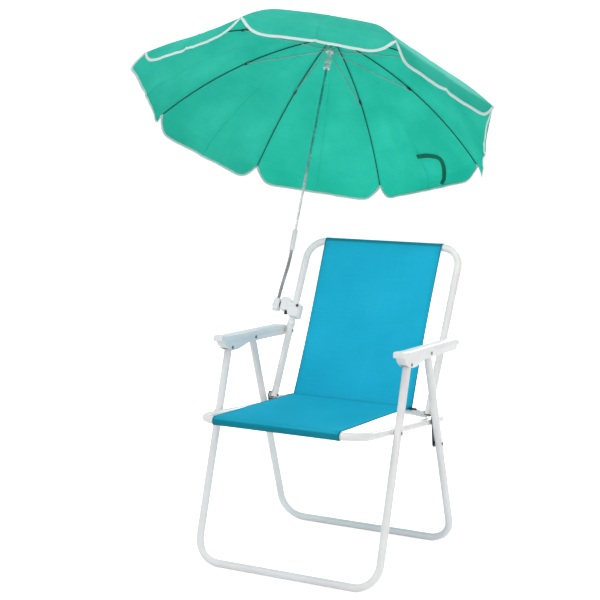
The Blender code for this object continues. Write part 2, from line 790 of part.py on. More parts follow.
def clamp_body():
    """Front half of the jaw with the block that carries the tilt joint and the knob."""
    obj = back_block(
        "clamp_body",
        (CLAMP_IN_X, BLOCK_IN_X - BODY_INTO_BLOCK),
        (CLAMP_LOW_S, CLAMP_HIGH_S),
        (-CLAMP_DEPTH, -CLAMP_SPLIT),
        "white_plastic",
        bevel=BODY_EDGE,
    )
    block = back_block(
        "block",
        (BLOCK_IN_X, BLOCK_OUT_X),
        (BLOCK_LOW_S, BLOCK_HIGH_S),
        (-BLOCK_DEPTH, BLOCK_DEPTH),
        "white_plastic",
        bevel=BLOCK_EDGE,
    )
    combine(obj, block, "UNION")
    bore = back_drill(TUBE_BORE_R, -RAIL_X, 0.0, CLAMP_LOW_S - DRILL_REACH, BLOCK_HIGH_S + DRILL_REACH)
    combine(obj, bore, "DIFFERENCE")
    combine(obj, bolt_drill(-CLAMP_DEPTH - DRILL_REACH), "DIFFERENCE")
    stem_r = BOLT_R + HOLE_GAP
    stem = back_drill(stem_r, KNOB_X, KNOB_DEPTH, BLOCK_LOW_S - DRILL_REACH, BLOCK_LOW_S + DRILL_REACH, 16)
    combine(obj, stem, "DIFFERENCE")
    return obj


def clamp_jaw():
    """Rear half of the jaw."""
    obj = back_block(
        "clamp_jaw",
        (CLAMP_IN_X, BLOCK_IN_X + GAP * 2),
        (CLAMP_LOW_S, CLAMP_HIGH_S),
        (CLAMP_SPLIT, CLAMP_DEPTH),
        "white_plastic",
        bevel=JAW_EDGE,
    )
    bore = back_drill(TUBE_BORE_R, -RAIL_X, 0.0, CLAMP_LOW_S - DRILL_REACH, CLAMP_HIGH_S + DRILL_REACH)
    combine(obj, bore, "DIFFERENCE")
    combine(obj, bolt_drill(-DRILL_REACH), "DIFFERENCE")
    return obj


def clamp_bolt():
    """Bolt through both jaw halves, its head in front and its nut behind."""
    far = CLAMP_DEPTH + GAP
    profile = [
        (-far - BOLT_HEAD_T, BOLT_HEAD_R),
        (-far, BOLT_HEAD_R),
        (-far, BOLT_R),
        (far, BOLT_R),
        (far, BOLT_HEAD_R),
        (far + BOLT_HEAD_T * 0.6, BOLT_HEAD_R),
        (far + BOLT_HEAD_T, BOLT_HEAD_R * 0.6),
    ]
    return turned("clamp_bolt", profile, back_point(BOLT_X, BOLT_S), BACK_REAR, "dark_metal", sides=14)


def clamp_knob():
    """Tightening screw under the block."""
    top = BLOCK_LOW_S - GAP
    profile = [
        (-KNOB_LEN, KNOB_R * 0.75),
        (-KNOB_LEN * 0.85, KNOB_R),
        (-KNOB_LEN * 0.15, KNOB_R),
        (0, KNOB_R * 0.8),
        (0, BOLT_R),
        (KNOB_STEM, BOLT_R),
    ]
    base = back_point(KNOB_X, top, KNOB_DEPTH)
    return turned("clamp_knob", profile, base, BACK_UP, "black_plastic", sides=14)


def tube_collar():
    """Stop ring on the back tube under the clamp."""
    length = COLLAR_HIGH_S - COLLAR_LOW_S
    profile = [
        (0, TUBE_BORE_R),
        (0, COLLAR_R - COLLAR_EDGE * 0.5),
        (COLLAR_EDGE, COLLAR_R),
        (length - COLLAR_EDGE, COLLAR_R),
        (length, COLLAR_R - COLLAR_EDGE * 0.5),
        (length, TUBE_BORE_R),
    ]
    base = back_point(-RAIL_X, COLLAR_LOW_S)
    return turned("tube_collar", profile, base, BACK_UP, "white_plastic", sides=24, bored=True)


def tilt_disc():
    """Friction disc between the clamp's block and the tilt socket."""
    start = BLOCK_OUT_X - GAP
    end = SOCKET_X + SOCKET_R + GAP
    profile = [(0, DISC_R), (start - end, DISC_R)]
    return turned("tilt_disc", profile, side_point(start, SOCKET_POINT), -X_AXIS, "black_plastic", sides=20)


def tilt_socket():
    """Barrel that holds the gooseneck's foot and tilts on the clamp."""
    half = SOCKET_HALF_LEN
    centre = side_point(SOCKET_X, SOCKET_POINT)
    profile = [
        (-half, SOCKET_R - SOCKET_EDGE),
        (-half + SOCKET_EDGE, SOCKET_R),
        (half - SOCKET_EDGE, SOCKET_R),
        (half, SOCKET_R - SOCKET_EDGE),
    ]
    obj = turned("tilt_socket", profile, centre, BACK_UP, "white_plastic", sides=20)
    face = turned("face", [(0, DISC_R), (SOCKET_R, DISC_R)], centre, X_AXIS, "white_plastic", sides=20)
    combine(obj, face, "UNION")
    nub = [(0, NUB_R), (SOCKET_R + NUB_LEN * 0.6, NUB_R), (SOCKET_R + NUB_LEN, NUB_R * 0.6)]
    combine(obj, turned("nub", nub, centre, -X_AXIS, "white_plastic", sides=14), "UNION")
    return obj


def gooseneck_ends():
    """Foot and head of the gooseneck, with their directions."""
    foot = side_point(SOCKET_X, SOCKET_POINT) + BACK_UP * (SOCKET_HALF_LEN + GAP)
    head = pole_point(SLEEVE_END + GAP)
    return foot, BACK_UP, head, POLE_UP


def gooseneck_path(steps):
    """A smooth curve between the gooseneck's ends, straight for one diameter at each."""
    foot, foot_way, head, head_way = gooseneck_ends()
    straight = 2 * GOOSENECK_R
    low = foot + foot_way * straight
    high = head - head_way * straight
    pull = (high - low).length
    points = [foot]
    for i in range(steps + 1):
        t = i / steps
        rise = t * t * (3 - 2 * t)
        curve = low.lerp(high, rise)
        curve += foot_way * pull * t * (1 - t) ** 2 - head_way * pull * t * t * (1 - t)
        points.append(curve)
    points.append(head)
    return points


def gooseneck():
    """Ribbed metal hose with its bore cut out."""
    path = gooseneck_path(2 * GOOSENECK_RIBS)
    radii = [GOOSENECK_R]
    for i in range(len(path) - 2):
        radii.append(GOOSENECK_R * (1.0 if i % 2 else GOOSENECK_RIB_depth_share))
    radii.append(GOOSENECK_R)
    normal = X_AXIS
    obj = sweep("gooseneck", path, radii, normal, "grey_hose", sides=8)
    plain = gooseneck_path(10)
    ends = [plain[0] - BACK_UP * BORE_REACH] + plain[1:-1] + [plain[-1] + POLE_UP * BORE_REACH]
    bore = sweep("bore", ends, [GOOSENECK_BORE_R] * len(ends), normal, "grey_hose", sides=8)
    combine(obj, bore, "DIFFERENCE")
    return obj


def sleeve():
    """Grip on the pole's foot, bored for the pole."""
    length = SLEEVE_END - SLEEVE_TOP
    bore_depth = POLE_END + GAP - SLEEVE_TOP
    profile = [
        (0, 0),
        (0, SLEEVE_R - SLEEVE_EDGE),
        (SLEEVE_EDGE, SLEEVE_R),
        (length - SLEEVE_EDGE, SLEEVE_R),
        (length, SLEEVE_R - SLEEVE_EDGE),
        (length, POLE_R + HOLE_GAP),
        (length - bore_depth, POLE_R + HOLE_GAP),
        (length - bore_depth, 0),
    ]
    return turned("sleeve", profile, pole_point(SLEEVE_END), POLE_UP, "white_plastic", sides=20)


def pole():
    """Steel tube from the sleeve to the top cap."""
    profile = [(0, POLE_R), (POLE_END + POLE_TOP, POLE_R)]
    return turned("pole", profile, pole_point(POLE_END), POLE_UP, "pole_steel", sides=14)


def crown():
    """Top notch and cap in one moulding, closed above the pole; the cloth's hole is round its stem."""
    bore = POLE_R + HOLE_GAP
    profile = [
        (NOTCH_END + POLE_TOP + GAP, 0),
        (NOTCH_END + POLE_TOP + GAP, bore),
        (0, bore),
        (0, NOTCH_R),
        (NOTCH_END - NOTCH_TOP, NOTCH_R),
        (NOTCH_END - NOTCH_TOP, CROWN_STEM_R),
        (NOTCH_END + CAP_LOW, CROWN_STEM_R),
        (NOTCH_END + CAP_LOW, CAP_R),
        (NOTCH_END + CAP_HIGH * 0.40, CAP_R),
        (NOTCH_END + CAP_HIGH * 0.80, CAP_R * 0.72),
        (NOTCH_END + CAP_HIGH, 0),
    ]
    return turned("crown", profile, pole_point(NOTCH_END), POLE_UP, "white_plastic", sides=20)


def runner():
    """Slider on the pole: stretcher ring, neck and two flanges."""
    profile = [
        (RUNNER_RING_TOP, RUNNER_RING_R),
        (RUNNER_RING_END, RUNNER_RING_R),
        (RUNNER_RING_END, RUNNER_NECK_R),
        (RUNNER_NECK_END, RUNNER_NECK_R),
        (RUNNER_NECK_END, RUNNER_FLANGE_R),
        (RUNNER_FLANGE_END, RUNNER_FLANGE_R),
        (RUNNER_FLANGE_END, RUNNER_NECK_R),
        (RUNNER_GROOVE_END, RUNNER_NECK_R),
        (RUNNER_GROOVE_END, RUNNER_FLANGE_R),
        (RUNNER_END, RUNNER_FLANGE_R),
    ]
    bore = POLE_R + HOLE_GAP
    rising = [(RUNNER_END - depth, radius) for depth, radius in reversed(profile)]
    rising = [(0, bore)] + rising + [(RUNNER_END - RUNNER_RING_TOP, bore)]
    return turned("runner", rising, pole_point(RUNNER_END), POLE_UP, "white_plastic", bored=True)


def rib(index):
    """A bowed rod from the notch to the rim."""
    angle = rib_angle(index)
    alongs = [RIB_START_R / RIM_R] + [(i + 1) / CANOPY_ROWS for i in range(CANOPY_ROWS)]
    points = [bow_point(angle, along, RIB_INSET) for along in alongs]
    tangent = POLE_UP.cross(radial(angle))
    name = "rib_{}".format(index + 1)
    return sweep(name, points, [RIB_R] * len(points), tangent, "dark_metal", sides=6)


def stretcher_joint(angle):
    """Point on a rib's axis where its stretcher is hinged."""
    low = 0.0
    high = 1.0
    for _ in range(40):
        middle = (low + high) / 2
        out = (bow_point(angle, middle, RIB_INSET) - APEX).dot(radial(angle))
        if out < STRETCHER_JOINT_R:
            low = middle
        else:
            high = middle
    return bow_point(angle, low, RIB_INSET)


def stretcher(index):
    """A straight rod from the runner to the side of its rib."""
    angle = rib_angle(index)
    tangent = POLE_UP.cross(radial(angle))
    start = pole_point(STRETCHER_PIVOT_DEPTH) + radial(angle) * STRETCHER_START_R
    end = stretcher_joint(angle) - POLE_UP * STRETCHER_UNDER_RIB
    shift = tangent * STRETCHER_SIDE_SHIFT
    name = "stretcher_{}".format(index + 1)
    return sweep(name, [start + shift, end + shift], [STRETCHER_R] * 2, tangent, "pole_steel", sides=6)


def rim_drop(share):
    """Share of the valance's full drop at a share of the panel's width from its rib."""
    chord = 2 * RIM_R * math.sin(math.pi / RIBS)
    left = 1.0 - min(1.0, share * chord / VALANCE_NOTCH)
    return (1.0 - left**NOTCH_CORNER_power) ** NOTCH_START_power


def panel_point(index, way, share, along):
    """A cloth point: way -1 or 1 picks the neighbour panel, share runs from this rib to the next."""
    here = bow_point(rib_angle(index), along)
    there = bow_point(rib_angle(index + way), along)
    return here.lerp(there, share)


def canopy_section(index):
    """Cloth on one rib, from fold line to fold line, with its half valances."""
    first = CANOPY_HOLE_share
    alongs = [first] + [(i + 1) / CANOPY_ROWS for i in range(CANOPY_ROWS)]
    sides = [(-1, share) for share in reversed(PANEL_SHARES)] + [(0, 0.0)]
    sides += [(1, share) for share in PANEL_SHARES]
    rows = []
    tangent = POLE_UP.cross(radial(rib_angle(index)))
    for along in alongs:
        row = []
        for way, share in sides:
            point = panel_point(index, way or 1, share, along)
            if share == 0.5:
                point -= tangent * way * SECTION_GAP
            row.append(point)
        rows.append(row)
    hem = []
    rib_end = bow_point(rib_angle(index), 1.0)
    rib_way = (rib_end - bow_point(rib_angle(index), 0.99)).normalized()
    for (way, share), point in zip(sides, rows[-1]):
        drop = TIP_DROP + (VALANCE_DROP - TIP_DROP) * rim_drop(share)
        out = radial(rib_angle(index + way * 0.5)) * VALANCE_OUT * drop / VALANCE_DROP
        hem.append(point - POLE_UP * drop + out if share else point + rib_way * TIP_DROP)
    rows.append(hem)
    name = "canopy_section_{}".format(index + 1)
    return cloth(name, rows, "canopy_cloth", offset=1.0)


def empty(name, point, parent=None, parent_point=Vector((0, 0, 0))):
    """A pivot that carries the pieces of one moving body."""
    obj = bpy.data.objects.new(name, None)
    bpy.context.collection.objects.link(obj)
    obj.parent = parent
    obj.location = point - parent_point
    return obj


def carry(obj, pivot, pivot_point):
    """Hang an object, modelled in place, on a pivot."""
    obj.parent = pivot
    obj.location = -pivot_point


def chair():
    """The folding frame and its sling."""
    ground = side_point(0, (0, 0))
    arm_point = side_point(0, REAR_LEG_PIVOT)
    leg_point = side_point(0, FRONT_LEG_PIVOT)
    back_pivot_point = side_point(0, BACK_PIVOT)
    seat_point = side_point(0, SEAT_PIVOT)
    link_point = side_point(0, LINK_BACK)
    rear = empty("rear_legs_base", ground)
    arms = empty("armrests_pivot", arm_point, rear, ground)
    legs = empty("front_legs_pivot", leg_point, arms, arm_point)
    back = empty("back_pivot", back_pivot_point, arms, arm_point)
    seat = empty("seat_pivot", seat_point, legs, leg_point)
    links = empty("links_pivot", link_point, back, back_pivot_point)
    pins = rivets()
    carry(leg_frame("rear_leg_frame", REAR_LEG_PIVOT, REAR_FOOT, [REAR_LEG_PIVOT, LINK_LEG]), rear, ground)
    for pin in pins["link_leg"]:
        carry(pin, rear, ground)
    front_frame = leg_frame("front_leg_frame", FRONT_LEG_PIVOT, FRONT_FOOT, [FRONT_LEG_PIVOT, SEAT_PIVOT])
    carry(front_frame, legs, leg_point)
    for name, side in (("armrest_left", -1), ("armrest_right", 1)):
        carry(armrest(name, side), arms, arm_point)
    for pin in pins["front_leg"] + pins["rear_leg"] + pins["back"]:
        carry(pin, arms, arm_point)
    for piece in [seat_frame(), seat_fabric()] + pins["seat"]:
        carry(piece, seat, seat_point)
    for piece in [back_frame(), back_cross_tube(), crease_rod(), back_fabric()] + pins["link_back"]:
        carry(piece, back, back_pivot_point)
    for name, side in (("link_plate_left", -1), ("link_plate_right", 1)):
        carry(link_plate(name, side), links, link_point)
    return rear, back, back_pivot_point


def umbrella(back, back_pivot_point):
    """Clamp, gooseneck and umbrella, carried by the back."""
    for piece in (clamp_body(), clamp_jaw(), clamp_bolt(), tube_collar(), tilt_disc()):
        carry(piece, back, back_pivot_point)
    knob_point = back_point(KNOB_X, BLOCK_LOW_S, KNOB_DEPTH)
    carry(clamp_knob(), empty("knob_pivot", knob_point, back, back_pivot_point), knob_point)
    socket_point = side_point(SOCKET_X, SOCKET_POINT)
    socket = empty("socket_pivot", socket_point, back, back_pivot_point)
    carry(tilt_socket(), socket, socket_point)
    carry(gooseneck(), socket, socket_point)
    foot, _, head, _ = gooseneck_ends()
    bend_point = foot.lerp(head, 0.5)
    shaft = empty("gooseneck_pivot", bend_point, socket, socket_point)
    for piece in (sleeve(), pole(), crown()):
        carry(piece, shaft, bend_point)
    runner_point = pole_point(STRETCHER_PIVOT_DEPTH)
    slider = empty("runner_pivot", runner_point, shaft, bend_point)
    carry(runner(), slider, runner_point)
    for i in range(RIBS):
        angle = rib_angle(i)
        start = runner_point + radial(angle) * STRETCHER_PIVOT_R
        joint = stretcher_joint(angle)
        arm = empty("stretcher_{}_pivot".format(i + 1), start, slider, runner_point)
        carry(stretcher(i), arm, start)
        bow = empty("rib_{}_pivot".format(i + 1), joint, arm, start)
        carry(rib(i), bow, joint)
        carry(canopy_section(i), bow, joint)


def centre_on_ground(root):
    """Move the model so that the bottom centre of its bounding box is the origin."""
    bpy.context.view_layer.update()
    meshes = [obj for obj in bpy.data.objects if obj.type == "MESH"]
    corners = [obj.matrix_world @ vertex.co for obj in meshes for vertex in obj.data.vertices]
    low = Vector(min(c[i] for c in corners) for i in range(3))
    high = Vector(max(c[i] for c in corners) for i in range(3))
    root.location -= Vector(((low.x + high.x) / 2, (low.y + high.y) / 2, low.z))
    bpy.context.view_layer.update()


def main():
    """Build the whole object."""
    remove_everything()
    root, back, back_pivot_point = chair()
    umbrella(back, back_pivot_point)
    centre_on_ground(root)


main()
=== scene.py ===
"""Looks of the umbrella chair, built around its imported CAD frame."""
import math

import bmesh
import bpy
from mathutils import Matrix, Vector, noise


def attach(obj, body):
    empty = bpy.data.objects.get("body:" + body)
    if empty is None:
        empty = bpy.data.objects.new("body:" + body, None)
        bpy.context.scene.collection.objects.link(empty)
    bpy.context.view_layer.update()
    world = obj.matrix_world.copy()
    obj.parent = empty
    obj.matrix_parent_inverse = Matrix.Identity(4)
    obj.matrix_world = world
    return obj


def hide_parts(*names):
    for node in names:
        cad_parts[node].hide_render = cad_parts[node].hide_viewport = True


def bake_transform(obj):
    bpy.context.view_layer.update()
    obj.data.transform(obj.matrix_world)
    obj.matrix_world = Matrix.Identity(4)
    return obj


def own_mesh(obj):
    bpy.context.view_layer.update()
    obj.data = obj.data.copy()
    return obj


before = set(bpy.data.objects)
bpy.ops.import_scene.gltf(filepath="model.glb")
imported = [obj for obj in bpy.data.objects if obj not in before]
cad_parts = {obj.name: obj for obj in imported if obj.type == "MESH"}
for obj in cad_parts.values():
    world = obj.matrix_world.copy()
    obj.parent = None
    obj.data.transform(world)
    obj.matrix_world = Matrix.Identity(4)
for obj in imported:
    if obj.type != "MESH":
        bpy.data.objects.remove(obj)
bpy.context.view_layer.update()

# The chair is drawn in a frame of its own, centred between its sides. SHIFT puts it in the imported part's frame.
SHIFT = Vector((0.27209, -0.483558, -0.000324))
X = Vector((1.0, 0.0, 0.0))
Z = Vector((0.0, 0.0, 1.0))

TUBE_R = 0.0095
LEG_X = 0.243
RAIL_X = 0.2176
GAP = 0.0003
FRONT_FOOT = (-0.0804, TUBE_R)
REAR_FOOT = (0.3593, TUBE_R)
FRONT_LEG_PIVOT = (0.0751, 0.5114)
REAR_LEG_PIVOT = (0.1899, 0.5204)
BACK_PIVOT = (0.3420, 0.5160)
LINK_BACK = (0.2608, 0.3576)
LINK_SEAT = (0.2846, 0.3335)
SEAT_FRONT_Y = -0.114
RAIL_END_Y = 0.3345
BACK_TOP_S = 0.4335
CREASE = (LINK_BACK[0] - 0.0122, LINK_BACK[1] + 0.0077)
ROD_R = 0.0030
WALL_HALF = 0.0118
CAVITY_HALF = 0.0103
CLAMP_X = -0.2574
SOCKET_X = -0.2724
SOCKET_R = 0.0115
SOCKET_HALF = 0.0165
SOCKET_POINT = (0.3726, 0.5768)
APEX = Vector((-0.3037, 0.7511, 1.2938)) + SHIFT
U = Vector((-0.0521, 0.4642, 0.8842)).normalized()
RIM_R = 0.5075
SLOPE_0 = math.radians(7.0)
SLOPE_1 = math.radians(42.7)
BOW_R = RIM_R / (math.sin(SLOPE_1) - math.sin(SLOPE_0))
SPOKE_X = U.cross(Z).normalized()
SPOKE_Y = U.cross(SPOKE_X)
RIB_INSET = 0.0033
RIB_R = 0.0016
NOTCH_R = 0.0122
RING_DEPTH = 0.047
RING_R = 0.0115
STRETCHER_R = 0.0014
STRETCHER_ASIDE = 0.0034
STRETCHER_JOINT_R = 0.2570
POLE_R = 0.0036
POLE_END = 0.640
SLEEVE_TOP = 0.595
SLEEVE_END = 0.655


def pt(x, y, z):
    """A point of the chair's own frame, in the part's frame."""
    return Vector((x, y, z)) + SHIFT


def side(x, p):
    """The point at x of a (y, z) pair of the side view."""
    return pt(x, p[0], p[1])


def share_point(a, b, t):
    return (a[0] + (b[0] - a[0]) * t, a[1] + (b[1] - a[1]) * t)


SEAT_PIVOT = share_point(FRONT_FOOT, FRONT_LEG_PIVOT, 0.694)
LINK_LEG = share_point(REAR_FOOT, REAR_LEG_PIVOT, 0.532)
BACK_UP = (side(0, BACK_PIVOT) - side(0, LINK_BACK)).normalized()
BACK_REAR = BACK_UP.cross(X)


def back_point(x, s, behind=0.0):
    """A point at distance s up the back tubes from their lower pivot."""
    return side(x, LINK_BACK) + BACK_UP * s + BACK_REAR * behind


def rail_z(y):
    """Height of the seat rails' axis, which slope down to the rear."""
    return SEAT_PIVOT[1] - 0.0969 * (y - SEAT_PIVOT[0])


def rib_angle(i):
    return math.radians(266.57) + i * math.tau / 8


def radial(a):
    return SPOKE_X * math.cos(a) + SPOKE_Y * math.sin(a)


def pole_point(depth):
    """A point on the pole's axis, at a depth below the top of the canopy."""
    return APEX - U * depth


def bow(a, t, inset=0.0):
    """A point of the rib's bow at share t of its arc, moved inward by inset."""
    s = SLOPE_0 + (SLOPE_1 - SLOPE_0) * t
    out = BOW_R * (math.sin(s) - math.sin(SLOPE_0)) - inset * math.sin(s)
    depth = BOW_R * (math.cos(SLOPE_0) - math.cos(s)) + inset * math.cos(s)
    return pole_point(depth) + radial(a) * out


# Materials

def rgb(r, g, b):
    """Linear colour from a display colour of 0 to 255."""
    out = []
    for c in (r, g, b):
        c /= 255
        out.append(c / 12.92 if c <= 0.04045 else ((c + 0.055) / 1.055) ** 2.4)
    return (*out, 1.0)


class Nodes:
    """Short ways to write a node tree."""

    def __init__(self, name):
        self.mat = bpy.data.materials.new(name)
        self.mat.use_nodes = True
        self.tree = self.mat.node_tree
        self.bsdf = self.tree.nodes["Principled BSDF"]
        self.out = self.tree.nodes["Material Output"]
        self.coords = self.add("ShaderNodeTexCoord")

    def add(self, kind, **inputs):
        node = self.tree.nodes.new(kind)
        for key, value in inputs.items():
            self.put(node, key.replace("_", " "), value)
        return node

    def put(self, node, key, value):
        socket = node.inputs[int(key)] if key.isdigit() else node.inputs[key]
        if isinstance(value, bpy.types.NodeSocket):
            self.tree.links.new(value, socket)
        else:
            socket.default_value = value

    def math(self, operation, a, b=None, clamp=False):
        node = self.tree.nodes.new("ShaderNodeMath")
        node.operation = operation
        node.use_clamp = clamp
        self.put(node, "0", a)
        if b is not None:
            self.put(node, "1", b)
        return node.outputs[0]

    def times(self, a, b, clamp=False):
        return self.math("MULTIPLY", a, b, clamp)

    def plus(self, a, b):
        return self.math("ADD", a, b)

    def minus(self, a, b, clamp=False):
        return self.math("SUBTRACT", a, b, clamp)

    def noise(self, scale, detail, rough, vector=None):
        node = self.add("ShaderNodeTexNoise", Scale=scale, Detail=detail, Roughness=rough)
        self.put(node, "Vector", vector if vector is not None else self.coords.outputs["Object"])
        return node.outputs["Fac"]

    def ramp(self, fac, stops):
        node = self.tree.nodes.new("ShaderNodeValToRGB")
        elements = node.color_ramp.elements
        while len(elements) < len(stops):
            elements.new(0.5)
        for element, (place, colour) in zip(elements, stops):
            element.position = place
            element.color = colour
        self.put(node, "Fac", fac)
        return node.outputs["Color"]

    def span(self, fac, low, high):
        node = self.add("ShaderNodeMapRange")
        self.put(node, "Value", fac)
        node.inputs["To Min"].default_value = low
        node.inputs["To Max"].default_value = high
        return node.outputs["Result"]

    def mix(self, fac, a, b):
        node = self.tree.nodes.new("ShaderNodeMix")
        node.data_type = "RGBA"
        self.put(node, "0", fac)
        self.put(node, "6", a)
        self.put(node, "7", b)
        return node.outputs[2]

    def bump(self, height, strength, distance):
        node = self.add("ShaderNodeBump", Strength=strength, Distance=distance)
        self.put(node, "Height", height)
        return node.outputs["Normal"]

    def stretched(self, vector, scale):
        node = self.add("ShaderNodeMapping", Scale=scale)
        self.put(node, "Vector", vector)
        return node.outputs["Vector"]


def plain(name, colour, shade, roughness, spread=0.06, metallic=0.0, scale=60.0, grain=900.0, depth=0.00004,
          dirt=None, gleam=0.5):
    """A hard finish: colour drift, smudged gloss and a fine grain."""
    n = Nodes(name)
    drift = n.noise(scale * 0.2, 4.0, 0.6)
    colours = n.ramp(drift, [(0.35, shade), (0.62, colour)])
    if dirt:
        spots = n.noise(scale * 1.4, 6.0, 0.7)
        spots = n.times(n.minus(spots, 0.60, clamp=True), 1.6, clamp=True)
        colours = n.mix(spots, colours, dirt)
    n.put(n.bsdf, "Base Color", colours)
    gloss = n.noise(scale, 5.0, 0.65)
    n.put(n.bsdf, "Roughness", n.span(gloss, roughness - spread, roughness + spread))
    n.bsdf.inputs["Metallic"].default_value = metallic
    n.bsdf.inputs["Specular IOR Level"].default_value = gleam
    n.put(n.bsdf, "Normal", n.bump(n.noise(grain, 2.0, 0.5), 0.25, depth))
    return n.mat


def brushed(name, colour, shade, roughness, metallic=1.0):
    """Metal with fine lines, drawn out along z."""
    n = Nodes(name)
    lines = n.noise(1.0, 2.0, 0.5, n.stretched(n.coords.outputs["Object"], (900.0, 900.0, 12.0)))
    n.put(n.bsdf, "Base Color", n.ramp(n.noise(30.0, 5.0, 0.6), [(0.3, shade), (0.7, colour)]))
    n.put(n.bsdf, "Roughness", n.span(lines, roughness - 0.06, roughness + 0.10))
    n.bsdf.inputs["Metallic"].default_value = metallic
    n.put(n.bsdf, "Normal", n.bump(lines, 0.12, 0.00002))
    return n.mat


def dimmed(colour, share):
    return tuple(c * share for c in colour[:3]) + (1.0,)


def woven(name, lit, deep, pitch, through, stitches=(), roughness=0.78, sheen=0.25, slub=1.0, edge=None, shade_wraps=()):
    """Woven cloth that lets light through, on a flat map in metres whose u is 0 in the middle.

    stitches and edge, where the selvedge starts, are distances from the middle. The wrap places list where on v it
    meets a bar, and from each the cloth gets painted shade where it goes round under the bar.
    """
    n = Nodes(name)
    uv = n.add("ShaderNodeUVMap")
    uv.uv_map = "UVMap"
    flat = uv.outputs["UV"]
    parts = n.add("ShaderNodeSeparateXYZ")
    n.put(parts, "0", flat)
    u, v = parts.outputs["X"], parts.outputs["Y"]
    from_middle = n.math("ABSOLUTE", u)
    warp, weft = (n.math("SINE", n.times(place, math.tau / pitch)) for place in (u, v))
    weave = n.span(n.times(warp, weft), 0.0, 1.0)
    weave.node.inputs["From Min"].default_value = -1.0
    across = n.noise(1.0, 3.0, 0.6, n.stretched(flat, (9.0, 420.0, 1.0)))
    along = n.noise(1.0, 3.0, 0.6, n.stretched(flat, (420.0, 9.0, 1.0)))
    threads = n.plus(n.times(across, 0.6), n.times(along, 0.4))
    fade = n.plus(n.times(threads, 0.55 * slub), n.times(n.noise(7.0, 4.0, 0.55), 0.45))
    colour = n.ramp(fade, [(0.30, deep), (0.66, lit)])
    colour = n.mix(n.times(weave, 0.16), colour, dimmed(deep, 0.55))
    height = n.plus(n.times(weave, 0.7), n.times(threads, 0.5))
    if edge:
        hem_and_painted_shade = n.times(n.minus(from_middle, edge), 900.0, clamp=True)
        colour = n.mix(n.times(hem_and_painted_shade, 0.7), colour, dimmed(deep, 0.45))
        height = n.plus(height, hem_and_painted_shade)
    # Painted shade: over a short stretch the cloth is darkened where it goes round the underside of its bar
    for place in shade_wraps:
        beyond = n.minus(v, place)
        inside = n.math("LESS_THAN", n.minus(beyond, WRAP_SHADE_REACH), 0.0)
        hem_and_painted_shade = n.times(n.times(beyond, 300.0, clamp=True), inside)
        colour = n.mix(n.times(hem_and_painted_shade, 0.68), colour, dimmed(deep, 0.45))
    for place in stitches:
        near = n.minus(1.0, n.times(n.math("ABSOLUTE", n.minus(from_middle, place)), 1400.0))
        near = n.math("MAXIMUM", near, 0.0)
        dash = n.math("GREATER_THAN", n.math("SINE", n.times(v, math.tau / STITCH_PITCH)), -0.35)
        stitch = n.times(near, dash, clamp=True)
        colour = n.mix(stitch, colour, dimmed(deep, 0.6))
        height = n.plus(height, n.times(stitch, 1.4))
    n.put(n.bsdf, "Base Color", colour)
    n.bsdf.inputs["Roughness"].default_value = roughness
    n.bsdf.inputs["Specular IOR Level"].default_value = 0.12
    n.bsdf.inputs["Sheen Weight"].default_value = sheen
    n.bsdf.inputs["Sheen Roughness"].default_value = 0.5
    normal = n.bump(height, 0.35, 0.00012)
    n.put(n.bsdf, "Normal", normal)
    glow = n.tree.nodes.new("ShaderNodeBsdfTranslucent")
    n.put(glow, "Color", colour)
    n.put(glow, "Normal", normal)
    both = n.tree.nodes.new("ShaderNodeMixShader")
    both.inputs[0].default_value = through
    n.put(both, "1", n.bsdf.outputs[0])
    n.put(both, "2", glow.outputs[0])
    n.put(n.out, "Surface", both.outputs[0])
    return n.mat


# Places on the sling's flat map: the seat's v starts at 0 and the back's at BACK_V
SLING_HALF = 0.1675
SLING_HEM = 0.0115
CLOTH_OFF = 0.0009
SELVEDGE = 0.1627
BACK_V = 1.0
# Where the sling meets its front and top bars along v; beyond these it gets painted shade round the bars' undersides
SEAT_WRAP_SHADE_V = 0.3715
BACK_WRAP_SHADE_V = BACK_V + 0.4400
WRAP_SHADE_REACH = 0.04
STITCH_PITCH = 0.0045

WHITE_PAINT = plain("white_paint_look", rgb(224, 224, 223), rgb(217, 217, 217), 0.34, 0.06, dirt=rgb(203, 202, 199),
                    gleam=0.3)
WHITE_PLASTIC = plain("white_plastic_look", rgb(226, 227, 227), rgb(218, 219, 220), 0.42, 0.08, grain=1600.0,
                      depth=0.00008, dirt=rgb(200, 199, 195), gleam=0.3)
BLACK_PLASTIC = plain("black_plastic_look", rgb(34, 34, 36), rgb(24, 24, 26), 0.48, 0.10, grain=1400.0, depth=0.0001)
DARK_METAL = plain("dark_metal_look", rgb(58, 58, 60), rgb(38, 38, 40), 0.38, 0.10, metallic=0.7,
                   dirt=rgb(120, 118, 112))
RIVET_STEEL = plain("rivet_steel_look", rgb(132, 132, 134), rgb(92, 92, 95), 0.34, 0.10, metallic=0.9)
RIB_STEEL = brushed("rib_steel_look", rgb(60, 66, 66), rgb(24, 28, 28), 0.30, 0.8)
STRETCHER_STEEL = brushed("stretcher_steel_look", rgb(158, 162, 164), rgb(112, 116, 118), 0.30)
POLE_STEEL = brushed("pole_steel_look", rgb(214, 216, 219), rgb(168, 170, 174), 0.25)
HOSE_METAL = plain("grey_hose_look", rgb(176, 176, 178), rgb(134, 134, 137), 0.34, 0.10, metallic=0.6)
SLING = woven("turquoise_cloth_look", rgb(44, 198, 226), rgb(24, 182, 211), 0.0016, 0.34,
              stitches=(0.1565, 0.1600), roughness=0.80, sheen=0.0, edge=SELVEDGE, shade_wraps=(SEAT_WRAP_SHADE_V, BACK_WRAP_SHADE_V))
CANOPY = woven("canopy_cloth_look", rgb(108, 230, 216), rgb(66, 202, 186), 0.0011, 0.58,
               stitches=(0.0035,), roughness=0.72, sheen=0.0, slub=0.5)
